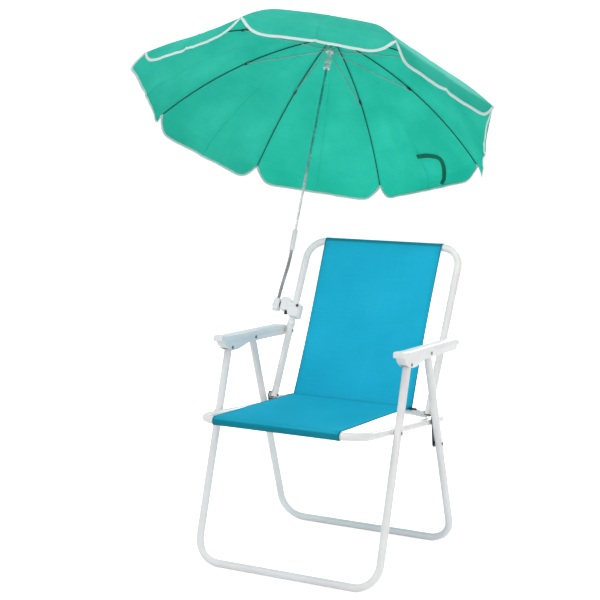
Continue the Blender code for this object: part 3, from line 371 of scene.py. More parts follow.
BINDING = woven("white_binding_look", rgb(250, 252, 252), rgb(240, 244, 244), 0.0012, 0.40, roughness=0.8, sheen=0.0)
STRAP = woven("strap_cloth_look", rgb(14, 128, 104), rgb(6, 100, 80), 0.0014, 0.10, stitches=(0.0050,),
              roughness=0.75, sheen=0.2)


# Meshes

def piece(name, bm, mat, body=None, nodes=(), smooth=40.0, recalc=True):
    """A finished object from a bmesh, riding its body and standing for CAD nodes."""
    if recalc:
        bmesh.ops.recalc_face_normals(bm, faces=bm.faces)
    mesh = bpy.data.meshes.new(name)
    bm.to_mesh(mesh)
    bm.free()
    mesh.shade_smooth()
    mesh.set_sharp_from_angle(angle=math.radians(smooth))
    mesh.materials.append(mat)
    obj = bpy.data.objects.new(name, mesh)
    bpy.context.scene.collection.objects.link(obj)
    if body:
        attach(obj, body)
    if nodes:
        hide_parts(*nodes)
    return obj


def baked(obj):
    """Keep the evaluated shape as the object's own mesh."""
    graph = bpy.context.evaluated_depsgraph_get()
    mesh = bpy.data.meshes.new_from_object(obj.evaluated_get(graph))
    obj.modifiers.clear()
    obj.data = mesh


def edged(obj, width, segments, angle):
    """Round the edges of a block that are sharper than an angle."""
    bevel = obj.modifiers.new("edge", "BEVEL")
    bevel.width = width
    bevel.segments = segments
    bevel.limit_method = "ANGLE"
    bevel.angle_limit = math.radians(angle)
    baked(obj)


def hollowed(obj, rings, smooth):
    """Cut the closed shape through rings of points out of a piece."""
    tool = solid(obj.name + "_tool", rings, obj.data.materials[0])
    cut = obj.modifiers.new("cut", "BOOLEAN")
    cut.operation = "DIFFERENCE"
    cut.object = tool
    baked(obj)
    bpy.data.objects.remove(tool)
    obj.data.shade_smooth()
    obj.data.set_sharp_from_angle(angle=math.radians(smooth))


def skin(bm, rings, closed=False):
    """Quads between rings of points, with end caps."""
    verts = [[bm.verts.new(p) for p in ring] for ring in rings]
    pairs = list(zip(verts, verts[1:]))
    if closed:
        pairs.append((verts[-1], verts[0]))
    for low, high in pairs:
        n = max(len(low), len(high))
        for i in range(n):
            j = (i + 1) % n
            quad = (low[i % len(low)], low[j % len(low)], high[j % len(high)], high[i % len(high)])
            bm.faces.new(dict.fromkeys(quad))
    if not closed:
        for ring in (verts[0], verts[-1]):
            if len(ring) > 2:
                bm.faces.new(ring)


def solid(name, rings, mat, body=None, nodes=(), smooth=40.0):
    """A closed piece through rings of points."""
    bm = bmesh.new()
    skin(bm, rings)
    return piece(name, bm, mat, body, nodes, smooth)


def rounded(corners, radius, steps=14):
    """A polyline whose inner corners are arcs."""
    points = [corners[0]]
    for a, corner, b in zip(corners, corners[1:], corners[2:]):
        back = (a - corner).normalized()
        ahead = (b - corner).normalized()
        half = back.angle(ahead) / 2
        centre = corner + (back + ahead).normalized() * radius / math.sin(half)
        first = corner + back * radius / math.tan(half) - centre
        axis = back.cross(ahead)
        for i in range(steps + 1):
            points.append(centre + Matrix.Rotation(-(math.pi - 2 * half) * i / steps, 3, axis) @ first)
    points.append(corners[-1])
    return points


def heading(points, k):
    """Direction of a path at its point k."""
    return (points[min(k + 1, len(points) - 1)] - points[max(k - 1, 0)]).normalized()


def sweep_rings(points, radii, normal, sides):
    """Rings of points around a path whose plane has the given normal."""
    rings = []
    for i, p in enumerate(points):
        along = heading(points, i)
        across = (normal - along * normal.dot(along)).normalized()
        other = along.cross(across)
        ring = []
        for k in range(sides):
            a = math.tau * (k + 0.5) / sides
            ring.append(p + (across * math.cos(a) + other * math.sin(a)) * radii[i])
        rings.append(ring)
    return rings


def turned(name, profile, base, axis, mat, body, nodes=(), sides=40, closed=False):
    """A turned piece from (distance along the axis, radius) pairs."""
    start = axis.orthogonal().normalized()
    other = axis.cross(start)
    rings = []
    for along, radius in profile:
        centre = base + axis * along
        if radius == 0:
            rings.append([centre])
            continue
        turns = (math.tau * k / sides for k in range(sides))
        rings.append([centre + (start * math.cos(a) + other * math.sin(a)) * radius for a in turns])
    bm = bmesh.new()
    skin(bm, rings, closed)
    piece(name, bm, mat, body, nodes, 32.0)


def mirrored(half, length):
    """A profile of a given length from its first half."""
    return half + [(length - a, b) for a, b in reversed(half)]


def eased(profile, cut):
    """A profile with each corner cut back by up to cut, in three steps."""
    out = [profile[0]]
    for a, b, c in zip(profile, profile[1:], profile[2:]):
        va = Vector((a[0] - b[0], a[1] - b[1]))
        vc = Vector((c[0] - b[0], c[1] - b[1]))
        if va.length < 1e-7 or vc.length < 1e-7 or b[1] == 0:
            out.append(b)
            continue
        reach = min(cut, va.length * 0.45, vc.length * 0.45)
        pa = Vector(b) + va.normalized() * reach
        pc = Vector(b) + vc.normalized() * reach
        for t in (0.0, 0.35, 0.65, 1.0):
            p = pa * (1 - t) ** 2 + Vector(b) * 2 * t * (1 - t) + pc * t * t
            out.append((p.x, p.y))
    out.append(profile[-1])
    return out


# Frame tubes

def tube(name, node, corners, bend, body):
    """A bent tube with rounded ends."""
    normal = (corners[0] - corners[1]).cross(corners[2] - corners[1]).normalized()
    points = rounded(corners, bend)
    a = (points[0] - points[1]).normalized()
    b = (points[-1] - points[-2]).normalized()
    steps = [(0.30, 0.985), (0.60, 0.90), (0.85, 0.68), (0.97, 0.36)]
    head = [points[0] + a * TUBE_R * far for far, _ in reversed(steps)]
    tail = [points[-1] + b * TUBE_R * far for far, _ in steps]
    radii = [TUBE_R * s for _, s in reversed(steps)] + [TUBE_R] * len(points) + [TUBE_R * s for _, s in steps]
    solid(name, sweep_rings(head + points + tail, radii, normal, 32), WHITE_PAINT, body, (node,), 50.0)


def frame_tubes():
    tube("front_leg_tube", "front_leg_frame", [side(x, p) for x, p in (
        (LEG_X, FRONT_LEG_PIVOT), (LEG_X, FRONT_FOOT), (-LEG_X, FRONT_FOOT), (-LEG_X, FRONT_LEG_PIVOT))],
        0.060, "front_legs")
    tube("rear_leg_tube", "rear_leg_frame", [side(x, p) for x, p in (
        (LEG_X, REAR_LEG_PIVOT), (LEG_X, REAR_FOOT), (-LEG_X, REAR_FOOT), (-LEG_X, REAR_LEG_PIVOT))],
        0.060, "rear_legs")
    front = (SEAT_FRONT_Y, rail_z(SEAT_FRONT_Y))
    rear = (RAIL_END_Y, rail_z(RAIL_END_Y))
    tube("seat_tube", "seat_frame", [side(x, p) for x, p in (
        (RAIL_X, rear), (RAIL_X, front), (-RAIL_X, front), (-RAIL_X, rear))], 0.058, "seat")
    tube("back_tube", "back_frame", [back_point(RAIL_X, 0), back_point(RAIL_X, BACK_TOP_S),
                                     back_point(-RAIL_X, BACK_TOP_S), back_point(-RAIL_X, 0)], 0.050, "back")
    end_x = RAIL_X - TUBE_R - GAP
    low = (LINK_BACK[0] + 0.0120, LINK_BACK[1] - 0.0080)
    half = [side(end_x, low), side(0.193, low), side(0.172, LINK_BACK)]
    path = half + [Vector((2 * SHIFT.x - p.x, p.y, p.z)) for p in reversed(half)]
    fine = []
    for a, b in zip(path, path[1:]):
        fine += [a.lerp(b, t) for t in (0.0, 0.12, 0.5, 0.88)]
    fine.append(path[-1])
    for _ in range(2):
        fine = [fine[0]] + [(p + q + r) / 3 for p, q, r in zip(fine, fine[1:], fine[2:])] + [fine[-1]]
    radii = []
    for p in fine:
        bent = max(0.0, abs(p.x - SHIFT.x) - 0.178) / (end_x - 0.178)
        radii.append(TUBE_R * (1.0 - 0.12 * min(1.0, bent * 2)))
    across = Vector((0, 0.5547, 0.8320))
    solid("cross_tube", sweep_rings(fine, radii, across, 28), WHITE_PAINT, "back", ("back_cross_tube",), 50.0)


def plugs():
    """Dark end plugs in the open lower ends of the seat rails and back tubes."""
    for word, s in (("left", -1), ("right", 1)):
        way = (side(0, (1, rail_z(1))) - side(0, (0, rail_z(0)))).normalized()
        for name, base, axis, body in (
                ("rail_plug_" + word, side(s * RAIL_X, (RAIL_END_Y, rail_z(RAIL_END_Y))), way, "seat"),
                ("back_plug_" + word, back_point(s * RAIL_X, 0), -BACK_UP, "back")):
            start = TUBE_R * 0.55
            profile = [(start, TUBE_R * 0.9 * 0.93), (start + 0.0008, TUBE_R * 0.905), (start + 0.0016, TUBE_R * 0.86),
                       (TUBE_R * 0.93, TUBE_R * 0.52), (TUBE_R * 1.0, 0)]
            turned(name, profile, base, axis, BLACK_PLASTIC, body, sides=28)


# Sling

def mapped(rows, uvs, closed=False):
    """Quads through rows of points, with a flat map in metres. Closed rows are rings, and get end caps."""
    bm = bmesh.new()
    layer = bm.loops.layers.uv.new("UVMap")
    grid = [[bm.verts.new(p) for p in row] for row in rows]
    count = len(rows[0])
    for j in range(len(rows) - 1):
        for i in range(count if closed else count - 1):
            corners = ((j, i), (j, i + 1), (j + 1, i + 1), (j + 1, i))
            face = bm.faces.new([grid[row][column % count] for row, column in corners])
            for loop, (row, column) in zip(face.loops, corners):
                loop[layer].uv = uvs[row][column % len(uvs[row])]
    if closed:
        bm.faces.new(grid[0])
        bm.faces.new(grid[-1])
    return bm


def grid_cloth(name, rows, uvs, mat, node, thickness, offset=0.0, smooth=70.0):
    """A sheet through rows of points, thickened, in the place of a CAD node."""
    obj = piece(name, mapped(rows, uvs), mat, None, (), smooth, recalc=False)
    solid = obj.modifiers.new("thickness", "SOLIDIFY")
    solid.thickness = thickness
    solid.offset = offset
    solid.use_even_offset = True
    baked(obj)
    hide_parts(node)
    return obj


def arc(centre, radius, start, end, steps):
    return [(centre[0] + radius * math.cos(start + (end - start) * i / steps),
             centre[1] + radius * math.sin(start + (end - start) * i / steps)) for i in range(steps + 1)]


def lengths(path):
    out = [0.0]
    for a, b in zip(path, path[1:]):
        out.append(out[-1] + math.dist(a, b))
    return out


# The sling has slipped to the right on the rod in the fold
SLIDE = 0.010


def wrinkle(x, v, seed, scale):
    return noise.noise(Vector((x * scale, v * scale * 0.8, seed)))


def sling(path, normals, half_at, lift_at, slide_at, v_start, columns=56):
    """Rows across a side-view path; lift_at gives the offset along each path normal, slide_at the shift sideways."""
    run = lengths(path)
    rows, uvs = [], []
    for k, ((y, z), (ny, nz)) in enumerate(zip(path, normals)):
        row, uv = [], []
        half = half_at(run[k])
        slide = slide_at(run[k])
        for i in range(columns + 1):
            c = 2 * i / columns - 1
            x = math.copysign(abs(c) ** 0.9, c) * half
            lift = lift_at(x, run[k], half)
            row.append(pt(x + slide, y + ny * lift, z + nz * lift))
            uv.append((x, v_start + run[k]))
        rows.append(row)
        uvs.append(uv)
    return rows, uvs


def path_normals(path, turn):
    out = []
    for k in range(len(path)):
        a, b = path[max(k - 1, 0)], path[min(k + 1, len(path) - 1)]
        d = Vector((b[0] - a[0], b[1] - a[1])).normalized()
        out.append((-d.y * turn, d.x * turn))
    return out


def seat_sling():
    """The seat's cloth, from the rod in the fold to round the front bar."""
    bar = (SEAT_FRONT_Y, rail_z(SEAT_FRONT_Y))
    wrap_r = TUBE_R + CLOTH_OFF
    rod_r = ROD_R + 0.0021
    lean = math.atan2(CREASE[1] + rod_r - bar[1] - wrap_r, CREASE[0] - bar[0])
    top = math.pi / 2 + lean
    rear = (CREASE[0] + rod_r * math.cos(top), CREASE[1] + rod_r * math.sin(top))
    around = arc(bar, wrap_r, top, top + math.radians(172), 26)
    steps = 60
    flat = [share_point(rear, around[0], i / steps) for i in range(steps)]
    path = flat + around
    run = lengths(path)
    flat_len = run[steps]
    normals = path_normals(path, -1)

    def lift(x, v, half):
        edge = 1 - (x / half) ** 2
        t = min(v / flat_len, 1.0)
        sag = -0.0042 * edge * math.sin(math.pi * t)
        pull = 0.0010 * wrinkle(x, v, 3.1, 7.0) * math.sin(math.pi * t)
        rip = 0.0007 * math.sin(38 * x + 5 * wrinkle(x, v, 8.0, 5.0)) * (1 - t) ** 3 * edge
        rip *= math.sin(math.pi * min(t * 3, 1))
        hem = 0.0005 if abs(x) > half - SLING_HEM else 0.0
        return (sag + pull + rip) * (1.0 if t < 1 else 0.0) + hem * 0.6

    rows, uvs = sling(path, normals, lambda v: SLING_HALF, lift,
                      lambda v: SLIDE * max(0.0, 1 - v / flat_len), 0.0)
    obj = grid_cloth("seat_sling", rows, uvs, SLING, "seat_fabric", 0.0010)
    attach(obj, "seat")


def back_sling():
    """The back's cloth, from round the rod in the fold to round the top bar."""
    rod_r = ROD_R + CLOTH_OFF
    bar_r = TUBE_R + CLOTH_OFF
    top = back_point(0, BACK_TOP_S) - SHIFT
    across = Vector((top.y - CREASE[0], top.z - CREASE[1]))
    tilt = math.asin((bar_r + rod_r) / across.length)
    up = math.atan2(across.y, across.x)
    leave = up - math.pi / 2 + tilt
    around_rod = arc(CREASE, rod_r, leave - math.radians(150), leave, 12)
    around_bar = arc((top.y, top.z), bar_r, leave + math.pi, leave + math.pi - math.radians(165), 26)
    steps = 64
    flat = [share_point(around_rod[-1], around_bar[0], i / steps) for i in range(1, steps)]
    path = around_rod + flat + around_bar
    run = lengths(path)
    first = run[len(around_rod) - 1]
    last = run[len(around_rod) + len(flat)]
    normals = path_normals(path, 1)

    def lift(x, v, half):
        t = (v - first) / (last - first)
        if t <= 0 or t >= 1:
            return 0.0003 if abs(x) > half - SLING_HEM else 0.0
        edge = 1 - (x / half) ** 2
        swell = math.sin(math.pi * t)
        belly = -0.0030 * edge * swell
        soft = 0.0011 * wrinkle(x, v, 1.7, 7.0) * swell
        corner = 0.0014 * math.exp(-((abs(x) - half * 0.86) / 0.02) ** 2) * math.sin(math.pi * t) * (t ** 4) * 3
        fold = -0.0006 * math.exp(-((t - 0.66) / 0.010) ** 2) * (0.5 + 0.5 * wrinkle(x, 0.3, 5.0, 6.0))
        hem = 0.0004 if abs(x) > half - SLING_HEM else 0.0
        return belly + soft + corner + fold + hem

    def rise(v):
        return min(max((v - first) / (last - first), 0.0), 1.0)

    rows, uvs = sling(path, normals, lambda v: SLING_HALF - 0.0025 * math.sin(math.pi * rise(v)), lift,
                      lambda v: SLIDE * (1 - rise(v)), BACK_V)
    obj = grid_cloth("back_sling", rows, uvs, SLING, "back_fabric", 0.0010)
    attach(obj, "back")


def crease_bar():
    r, length = ROD_R, 0.361
    profile = mirrored([(0, 0), (0, r * 0.6), (0.0006, r * 0.93), (0.0016, r)], length)
    turned("crease_bar", profile, side(-0.170, CREASE), X, BLACK_PLASTIC, "back", ("crease_rod",), sides=24)


# Armrests

def arm_top(y):
    drop = max(0.0, y - 0.326)
    return 0.5460 - 0.037 * y + 0.0025 * math.exp(-(((y - 0.0265) / 0.03) ** 2)) - 5.0 * drop * drop


def smooth_line(points, per):
    """A curve through points."""
    out = []
    n = len(points)
    for i in range(n - 1):
        p0, p1, p2, p3 = (points[max(i - 1, 0)], points[i], points[i + 1], points[min(i + 2, n - 1)])
        for k in range(per):
            t = k / per
            out.append(tuple(0.5 * (2 * b + (c - a) * t + (2 * a - 5 * b + 4 * c - d) * t * t
                                    + (3 * b - a - 3 * c + d) * t ** 3) for a, b, c, d in zip(p0, p1, p2, p3)))
    out.append(points[-1])
    return out


# Lower edge of the armrest's walls, from the nose to the rear
WALL_LOWER = [(0.0365, 0.5320), (0.040, 0.5245), (0.048, 0.5160), (0.061, 0.5080), (0.076, 0.5040), (0.095, 0.5026),
              (0.113, 0.5042), (0.147, 0.5100), (0.165, 0.5115), (0.270, 0.5080), (0.335, 0.5050), (0.349, 0.5100),
              (0.352, 0.5200)]


def armrest(word, s):
    """A moulded armrest: the cap, and the walls that hide the leg's top."""
    cx = s * LEG_X
    nose, tail, half_w = 0.0240, 0.3660, 0.0135
    nose_ease, tail_ease = 0.005, 0.009
    stations = [nose + nose_ease * (1 - math.cos(math.pi / 2 * i / 10)) for i in range(11)]
    stations += [nose + nose_ease + (tail - nose - nose_ease - tail_ease) * i / 36 for i in range(1, 37)]
    stations += [tail - tail_ease * math.cos(math.pi / 2 * i / 8) for i in range(1, 9)]
    rings = []
    for y in stations:
        a = max(0.0, 1 - (y - nose) / nose_ease)
        b = max(0.0, 1 - (tail - y) / tail_ease)
        round_off = math.sqrt(max(0.0, 1 - max(a, b) ** 2.2))
        half = half_w * ((0.92 + 0.08 * round_off) if a else (0.30 + 0.70 * round_off))
        depth = 0.0145 + (0.0103 - 0.0145) * (y - nose) / (tail - nose)
        high = arm_top(y) - 0.0016 * (1 - round_off)
        low = arm_top(y) - depth + 0.0012 * (1 - round_off)
        r = 0.0036
        section = []
        for centre_x, centre_z, a0 in ((half - r, high - r, 0.0), (-half + r, high - r, math.pi / 2)):
            for i in range(6):
                t = a0 + math.pi / 2 * i / 5
                section.append((centre_x + r * math.cos(t), centre_z + r * math.sin(t)))
        section += [(-half, low + 0.0007), (-half + 0.0007, low), (half - 0.0007, low), (half, low + 0.0007)]
        crown = []
        for x, z in section:
            if z > high - r * 0.4:
                z += 0.0009 * (1 - (x / half) ** 2)
            crown.append(pt(cx + x, y, z))
        rings.append(crown)
    solid("armrest_cap_" + word, rings, WHITE_PLASTIC, "armrests", ("armrest_" + word,), 45.0)
    # Walls under the cap, hollow from below
    lower = smooth_line(WALL_LOWER, 5)
    upper = [(y, arm_top(y) - 0.0050) for y in (0.352, 0.30, 0.20, 0.10, 0.0365)]
    outline = lower + upper
    rings = [[pt(cx + x, y, z) for y, z in outline] for x in (-WALL_HALF, WALL_HALF)]
    obj = solid("armrest_wall_" + word, rings, WHITE_PLASTIC, smooth=35.0)
    edged(obj, 0.0009, 3, 50)
    cut = [(0.052, 0.45), (0.349, 0.45)] + [(y, arm_top(y) - 0.0030) for y in (0.349, 0.30, 0.20, 0.10, 0.052)]
    hollowed(obj, [[pt(cx + x, y, z) for y, z in cut] for x in (-CAVITY_HALF, CAVITY_HALF)], 30)
    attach(obj, "armrests")


# Rivets

HEAD_R = 0.0045
HEAD_T = 0.0014
HEAD_EASE = 0.0007
HEAD_FLAT_R = HEAD_R * 0.72
PIN_R = 0.0025


def head_in(a, b, pin_to):
    """Profile of a rivet's inner head from a to b, and of its pin as far as pin_to."""
    return [(a, HEAD_FLAT_R), (a + HEAD_EASE, HEAD_R), (b, HEAD_R), (b, PIN_R), (pin_to, PIN_R)]


def head_out(a):
    """Profile of a rivet's outer head, which starts at a."""
    return [(a, PIN_R), (a, HEAD_R), (a + HEAD_EASE, HEAD_R), (a + HEAD_T, HEAD_FLAT_R)]


def rivets():
    tube_in, tube_out = RAIL_X - TUBE_R, RAIL_X + TUBE_R
    leg_in, leg_out = LEG_X - TUBE_R, LEG_X + TUBE_R
    wall_in, wall_out = LEG_X - WALL_HALF, LEG_X + WALL_HALF
    cavity_in = LEG_X - CAVITY_HALF
    link_in = 0.2295
    link_out = link_in + 0.0020
    inner = head_in(tube_in - GAP - HEAD_T, tube_in - GAP, tube_out + GAP)[:-1]
    arm = head_in(wall_in - GAP - HEAD_T, wall_in - GAP, wall_out + GAP)[:-1] + head_out(wall_out + GAP)
    to_arm = inner + head_out(cavity_in + GAP)
    to_leg = inner + head_out(leg_out + GAP)
    to_link = inner + head_out(link_out + GAP)
    leg_only = [(leg_in + 2 * GAP, PIN_R)] + head_out(leg_out + GAP)
    for word, s in (("left", -1), ("right", 1)):
        for name, point, steps, body in (
                ("front_leg", FRONT_LEG_PIVOT, arm, "armrests"), ("rear_leg", REAR_LEG_PIVOT, arm, "armrests"),
                ("back", BACK_PIVOT, to_arm, "armrests"), ("seat", SEAT_PIVOT, to_leg, "seat"),
                ("link_back", LINK_BACK, to_link, "back"), ("link_leg", LINK_LEG, leg_only, "rear_legs")):
            profile = eased([(steps[0][0], 0)] + steps + [(steps[-1][0], 0)], 0.0006)
            turned(f"{name}_pin_{word}", profile, side(0, point), X * s, RIVET_STEEL, body,
                   (f"{name}_rivet_{word}",), sides=28)
        for name, point, to, radius, body in (
                ("back_bush", BACK_PIVOT, wall_in, 0.0046, "armrests"),
                ("seat_bush", SEAT_PIVOT, leg_in, 0.0056, "seat"),
                ("link_washer", LINK_BACK, link_in, 0.0082, "back")):
            start, end, hole = tube_out + GAP, to - GAP, PIN_R + 0.0001
            ring = eased([(start, hole), (start, radius), (end, radius), (end, hole)], 0.0003)
            turned(f"{name}_{word}", ring, side(0, point), X * s, WHITE_PLASTIC, body, sides=28, closed=True)


# Umbrella holder

def holder():
    """What is round the clamp: stop collar, friction disc, knob and bolt."""
    collar = mirrored([(0, 0.0099), (0, 0.0104), (0.0004, 0.0108), (0.0012, 0.0110)], 0.010)
    turned("stop_collar", collar, back_point(-RAIL_X, 0.1925), BACK_UP, WHITE_PLASTIC, "back", ("tube_collar",),
           closed=True)
    start = CLAMP_X - GAP
    end = SOCKET_X + SOCKET_R + GAP
    disc_len = start - end
    disc = eased([(0, 0), (0, 0.0110), (disc_len, 0.0110), (disc_len, 0)], 0.0003)
    turned("friction_disc", disc, side(start, SOCKET_POINT), -X, BLACK_PLASTIC, "back", ("tilt_disc",))
    # Knob with grip flutes
    sides = 48
    axis = BACK_UP
    base = back_point(-0.2385, 0.2320 - GAP, -0.0050)
    a0 = axis.orthogonal().normalized()
    a1 = axis.cross(a0)
    rings = []
    knob = [(-0.0120, 0.0022, 0), (-0.0119, 0.0030, 0.3), (-0.0110, 0.0039, 1), (-0.0102, 0.0042, 1),
            (-0.0018, 0.0042, 1), (-0.0008, 0.0039, 1), (0, 0.0033, 0.2), (0, 0.0022, 0), (0.008, 0.0022, 0)]
    for along, radius, flute in knob:
        rings.append([base + axis * along + (a0 * math.cos(math.tau * k / sides) + a1 * math.sin(math.tau * k / sides))
                      * radius * (1 - 0.09 * flute * (1 if k % 4 < 2 else -1)) for k in range(sides)])
    solid("knob_screw", rings, BLACK_PLASTIC, "knob", ("clamp_knob",), 35.0)
    far = 0.0138 + GAP
    thick = 0.0022
    bolt = [(-far - thick, 0), (-far - thick, 0.0040), (-far, 0.0040), (-far, 0.0022), (far, 0.0022), (far, 0.0040),
            (far + thick * 0.6, 0.0040), (far + thick, 0.0024), (far + thick, 0.0016), (far + thick * 0.5, 0.0014),
            (far + thick * 0.5, 0)]
    turned("jaw_bolt", eased(bolt, 0.0003), back_point(-0.2040, 0.2440), BACK_REAR, DARK_METAL, "back", ("clamp_bolt",),
           sides=24)


def clamp_part(name, outline, depth, edge, node):
    """A moulded block of the clamp: an outline across the back tube, bored for the tube, with round edges."""
    rings = [[back_point(x, along, behind) for x, along in outline] for behind in depth]
    obj = solid(name, rings, WHITE_PLASTIC, smooth=35.0)
    edged(obj, edge, 5, 20)
    axis = [back_point(-RAIL_X, along) for along in (0.19, 0.29)]
    hollowed(obj, sweep_rings(axis, [TUBE_R + GAP] * 2, X, 48), 35)
    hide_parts(node)
    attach(obj, "back")


def clamp():
    block = [(CLAMP_X, 0.2300), (CLAMP_X, 0.2670), (-0.2360, 0.2670), (-0.2290, 0.2630), (-0.2262, 0.2540),
             (-0.2290, 0.2300)]
    clamp_part("clamp_block", block, (-0.0125, 0.0125), 0.0036, "clamp_body")
    ring = [(-0.2335, 0.2320), (-0.2335, 0.2560), (-0.2262, 0.2540), (-0.1985, 0.2520), (-0.1985, 0.2135),
            (-0.2235, 0.2135), (-0.2303, 0.2200)]
    clamp_part("clamp_front", ring, (-0.0138, -0.0005), 0.0026, "clamp_body")
    jaw = [(-0.2285, 0.2200), (-0.2285, 0.2520), (-0.1985, 0.2520), (-0.1985, 0.2135), (-0.2235, 0.2135)]
    clamp_part("clamp_rear", jaw, (0.0005, 0.0135), 0.0026, "clamp_jaw")


def socket():
    centre = side(SOCKET_X, SOCKET_POINT)
    half, r, edge = SOCKET_HALF, SOCKET_R, 0.003
    quarter = [math.pi / 2 * i / 6 for i in range(7)]
    profile = [(-half, 0)] + [(-half + edge * (1 - math.cos(a)), r - edge * (1 - math.sin(a))) for a in quarter]
    turned("socket_barrel", mirrored(profile, 0), centre, BACK_UP, WHITE_PLASTIC, "socket", ("tilt_socket",))
    turned("socket_face", eased([(0, 0), (0, 0.0110), (r, 0.0110), (r, 0)], 0.0005), centre, X, WHITE_PLASTIC, "socket")
    nub = eased([(0, 0), (0, 0.0050), (r + 0.0018, 0.0050), (r + 0.0030, 0.0032), (r + 0.0030, 0)], 0.0006)
    turned("socket_nub", nub, centre, -X, WHITE_PLASTIC, "socket")


def hose_path(steps):
    """The hose's axis: straight out of the socket, a bend, and straight into the sleeve."""
    straight = 0.0096
    foot = side(SOCKET_X, SOCKET_POINT) + BACK_UP * (SOCKET_HALF + GAP)
    head = pole_point(SLEEVE_END + GAP)
    low = foot + BACK_UP * straight
    high = head - U * straight
    pull = (high - low).length
    points = [foot]
    for i in range(steps + 1):
        t = i / steps
        p = low.lerp(high, t * t * (3 - 2 * t))
        points.append(p + BACK_UP * pull * t * (1 - t) ** 2 - U * pull * t * t * (1 - t))
    points.append(head)
    return points


def gooseneck():
    """A ribbed metal hose: rounded turns, closely spaced."""
    turns, radius = 66, 0.0048
    path = hose_path(120)
    run = lengths(path)
    total = run[-1]

    def at(v):
        k = 0
        while k < len(run) - 2 and run[k + 1] < v:
            k += 1
        t = (v - run[k]) / max(run[k + 1] - run[k], 1e-9)
        return path[k].lerp(path[k + 1], min(max(t, 0.0), 1.0))

    pitch = total / turns
    points, radii = [], []
    for i in range(turns):
        for share, r in ((0.0, 0.84), (0.18, 0.93), (0.36, 0.99), (0.5, 1.0), (0.64, 0.99), (0.82, 0.93)):
            points.append(at((i + share) * pitch))
            radii.append(radius * r)
    points.append(at(total))
    radii.append(radius * 0.84)
    obj = solid("hose", sweep_rings(points, radii, X, 24), HOSE_METAL, None, ("gooseneck",), 60.0)
    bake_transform(obj)


# Umbrella

def pole_parts():
    length = POLE_END + 0.0035
    turned("pole_tube", eased([(0, 0), (0, POLE_R), (length, POLE_R), (length, 0)], 0.0004), pole_point(POLE_END), U,
           POLE_STEEL, "shaft", ("pole",), sides=32)
    length = SLEEVE_END - SLEEVE_TOP
    bore = POLE_END + GAP - SLEEVE_TOP
    grip = [(0, 0), (0, 0.0052), (0.0004, 0.0063), (0.0015, 0.0069), (0.004, 0.0070), (0.012, 0.0070), (0.0125, 0.0066),
            (0.0135, 0.0066), (0.014, 0.0070), (length - 0.004, 0.0070), (length - 0.0014, 0.0067), (length, 0.0058),
            (length, 0.0040), (length - bore, 0.0040), (length - bore, 0)]
    turned("sleeve_grip", grip, pole_point(SLEEVE_END), U, WHITE_PLASTIC, "shaft", ("sleeve",), sides=36)
    bore = 0.0040
    crown = [(0.0133, 0), (0.0133, bore), (0, bore), (0, 0.0112), (0.0061, 0.0112), (0.0061, 0.0062), (0.0097, 0.0062),
             (0.0097, 0.0105), (0.0127, 0.0105), (0.0159, 0.0076), (0.0171, 0.0040), (0.0175, 0)]
    turned("top_cap", eased(crown, 0.0006), pole_point(0.0095), U, WHITE_PLASTIC, "shaft", ("crown",), sides=36)
    # Depths below the apex
    high, low = 0.0420, 0.1030
    rows = [(high, 0.0112), (0.0520, 0.0112), (0.0520, 0.0058), (0.0750, 0.0058), (0.0750, 0.0095), (0.0860, 0.0095),
            (0.0860, 0.0058), (0.0910, 0.0058), (0.0910, 0.0095), (low, 0.0095)]
    rising = [(0, bore)] + [(low - d, r) for d, r in reversed(rows)] + [(low - high, bore)]
    turned("slider", eased(rising, 0.0009), pole_point(low), U, WHITE_PLASTIC, "slider", ("runner",), sides=36,
           closed=True)


def stretcher_joint(a):
    """Share of the rib's arc at which its stretcher meets it."""
    low, high = 0.0, 1.0
    for _ in range(40):
        mid = (low + high) / 2
        if (bow(a, mid, RIB_INSET) - APEX).dot(radial(a)) < STRETCHER_JOINT_R:
            low = mid
        else:
            high = mid
    return low


def squared(value, power):
    """A sine or cosine bent towards a square section."""
    return math.copysign(abs(value) ** power, value)


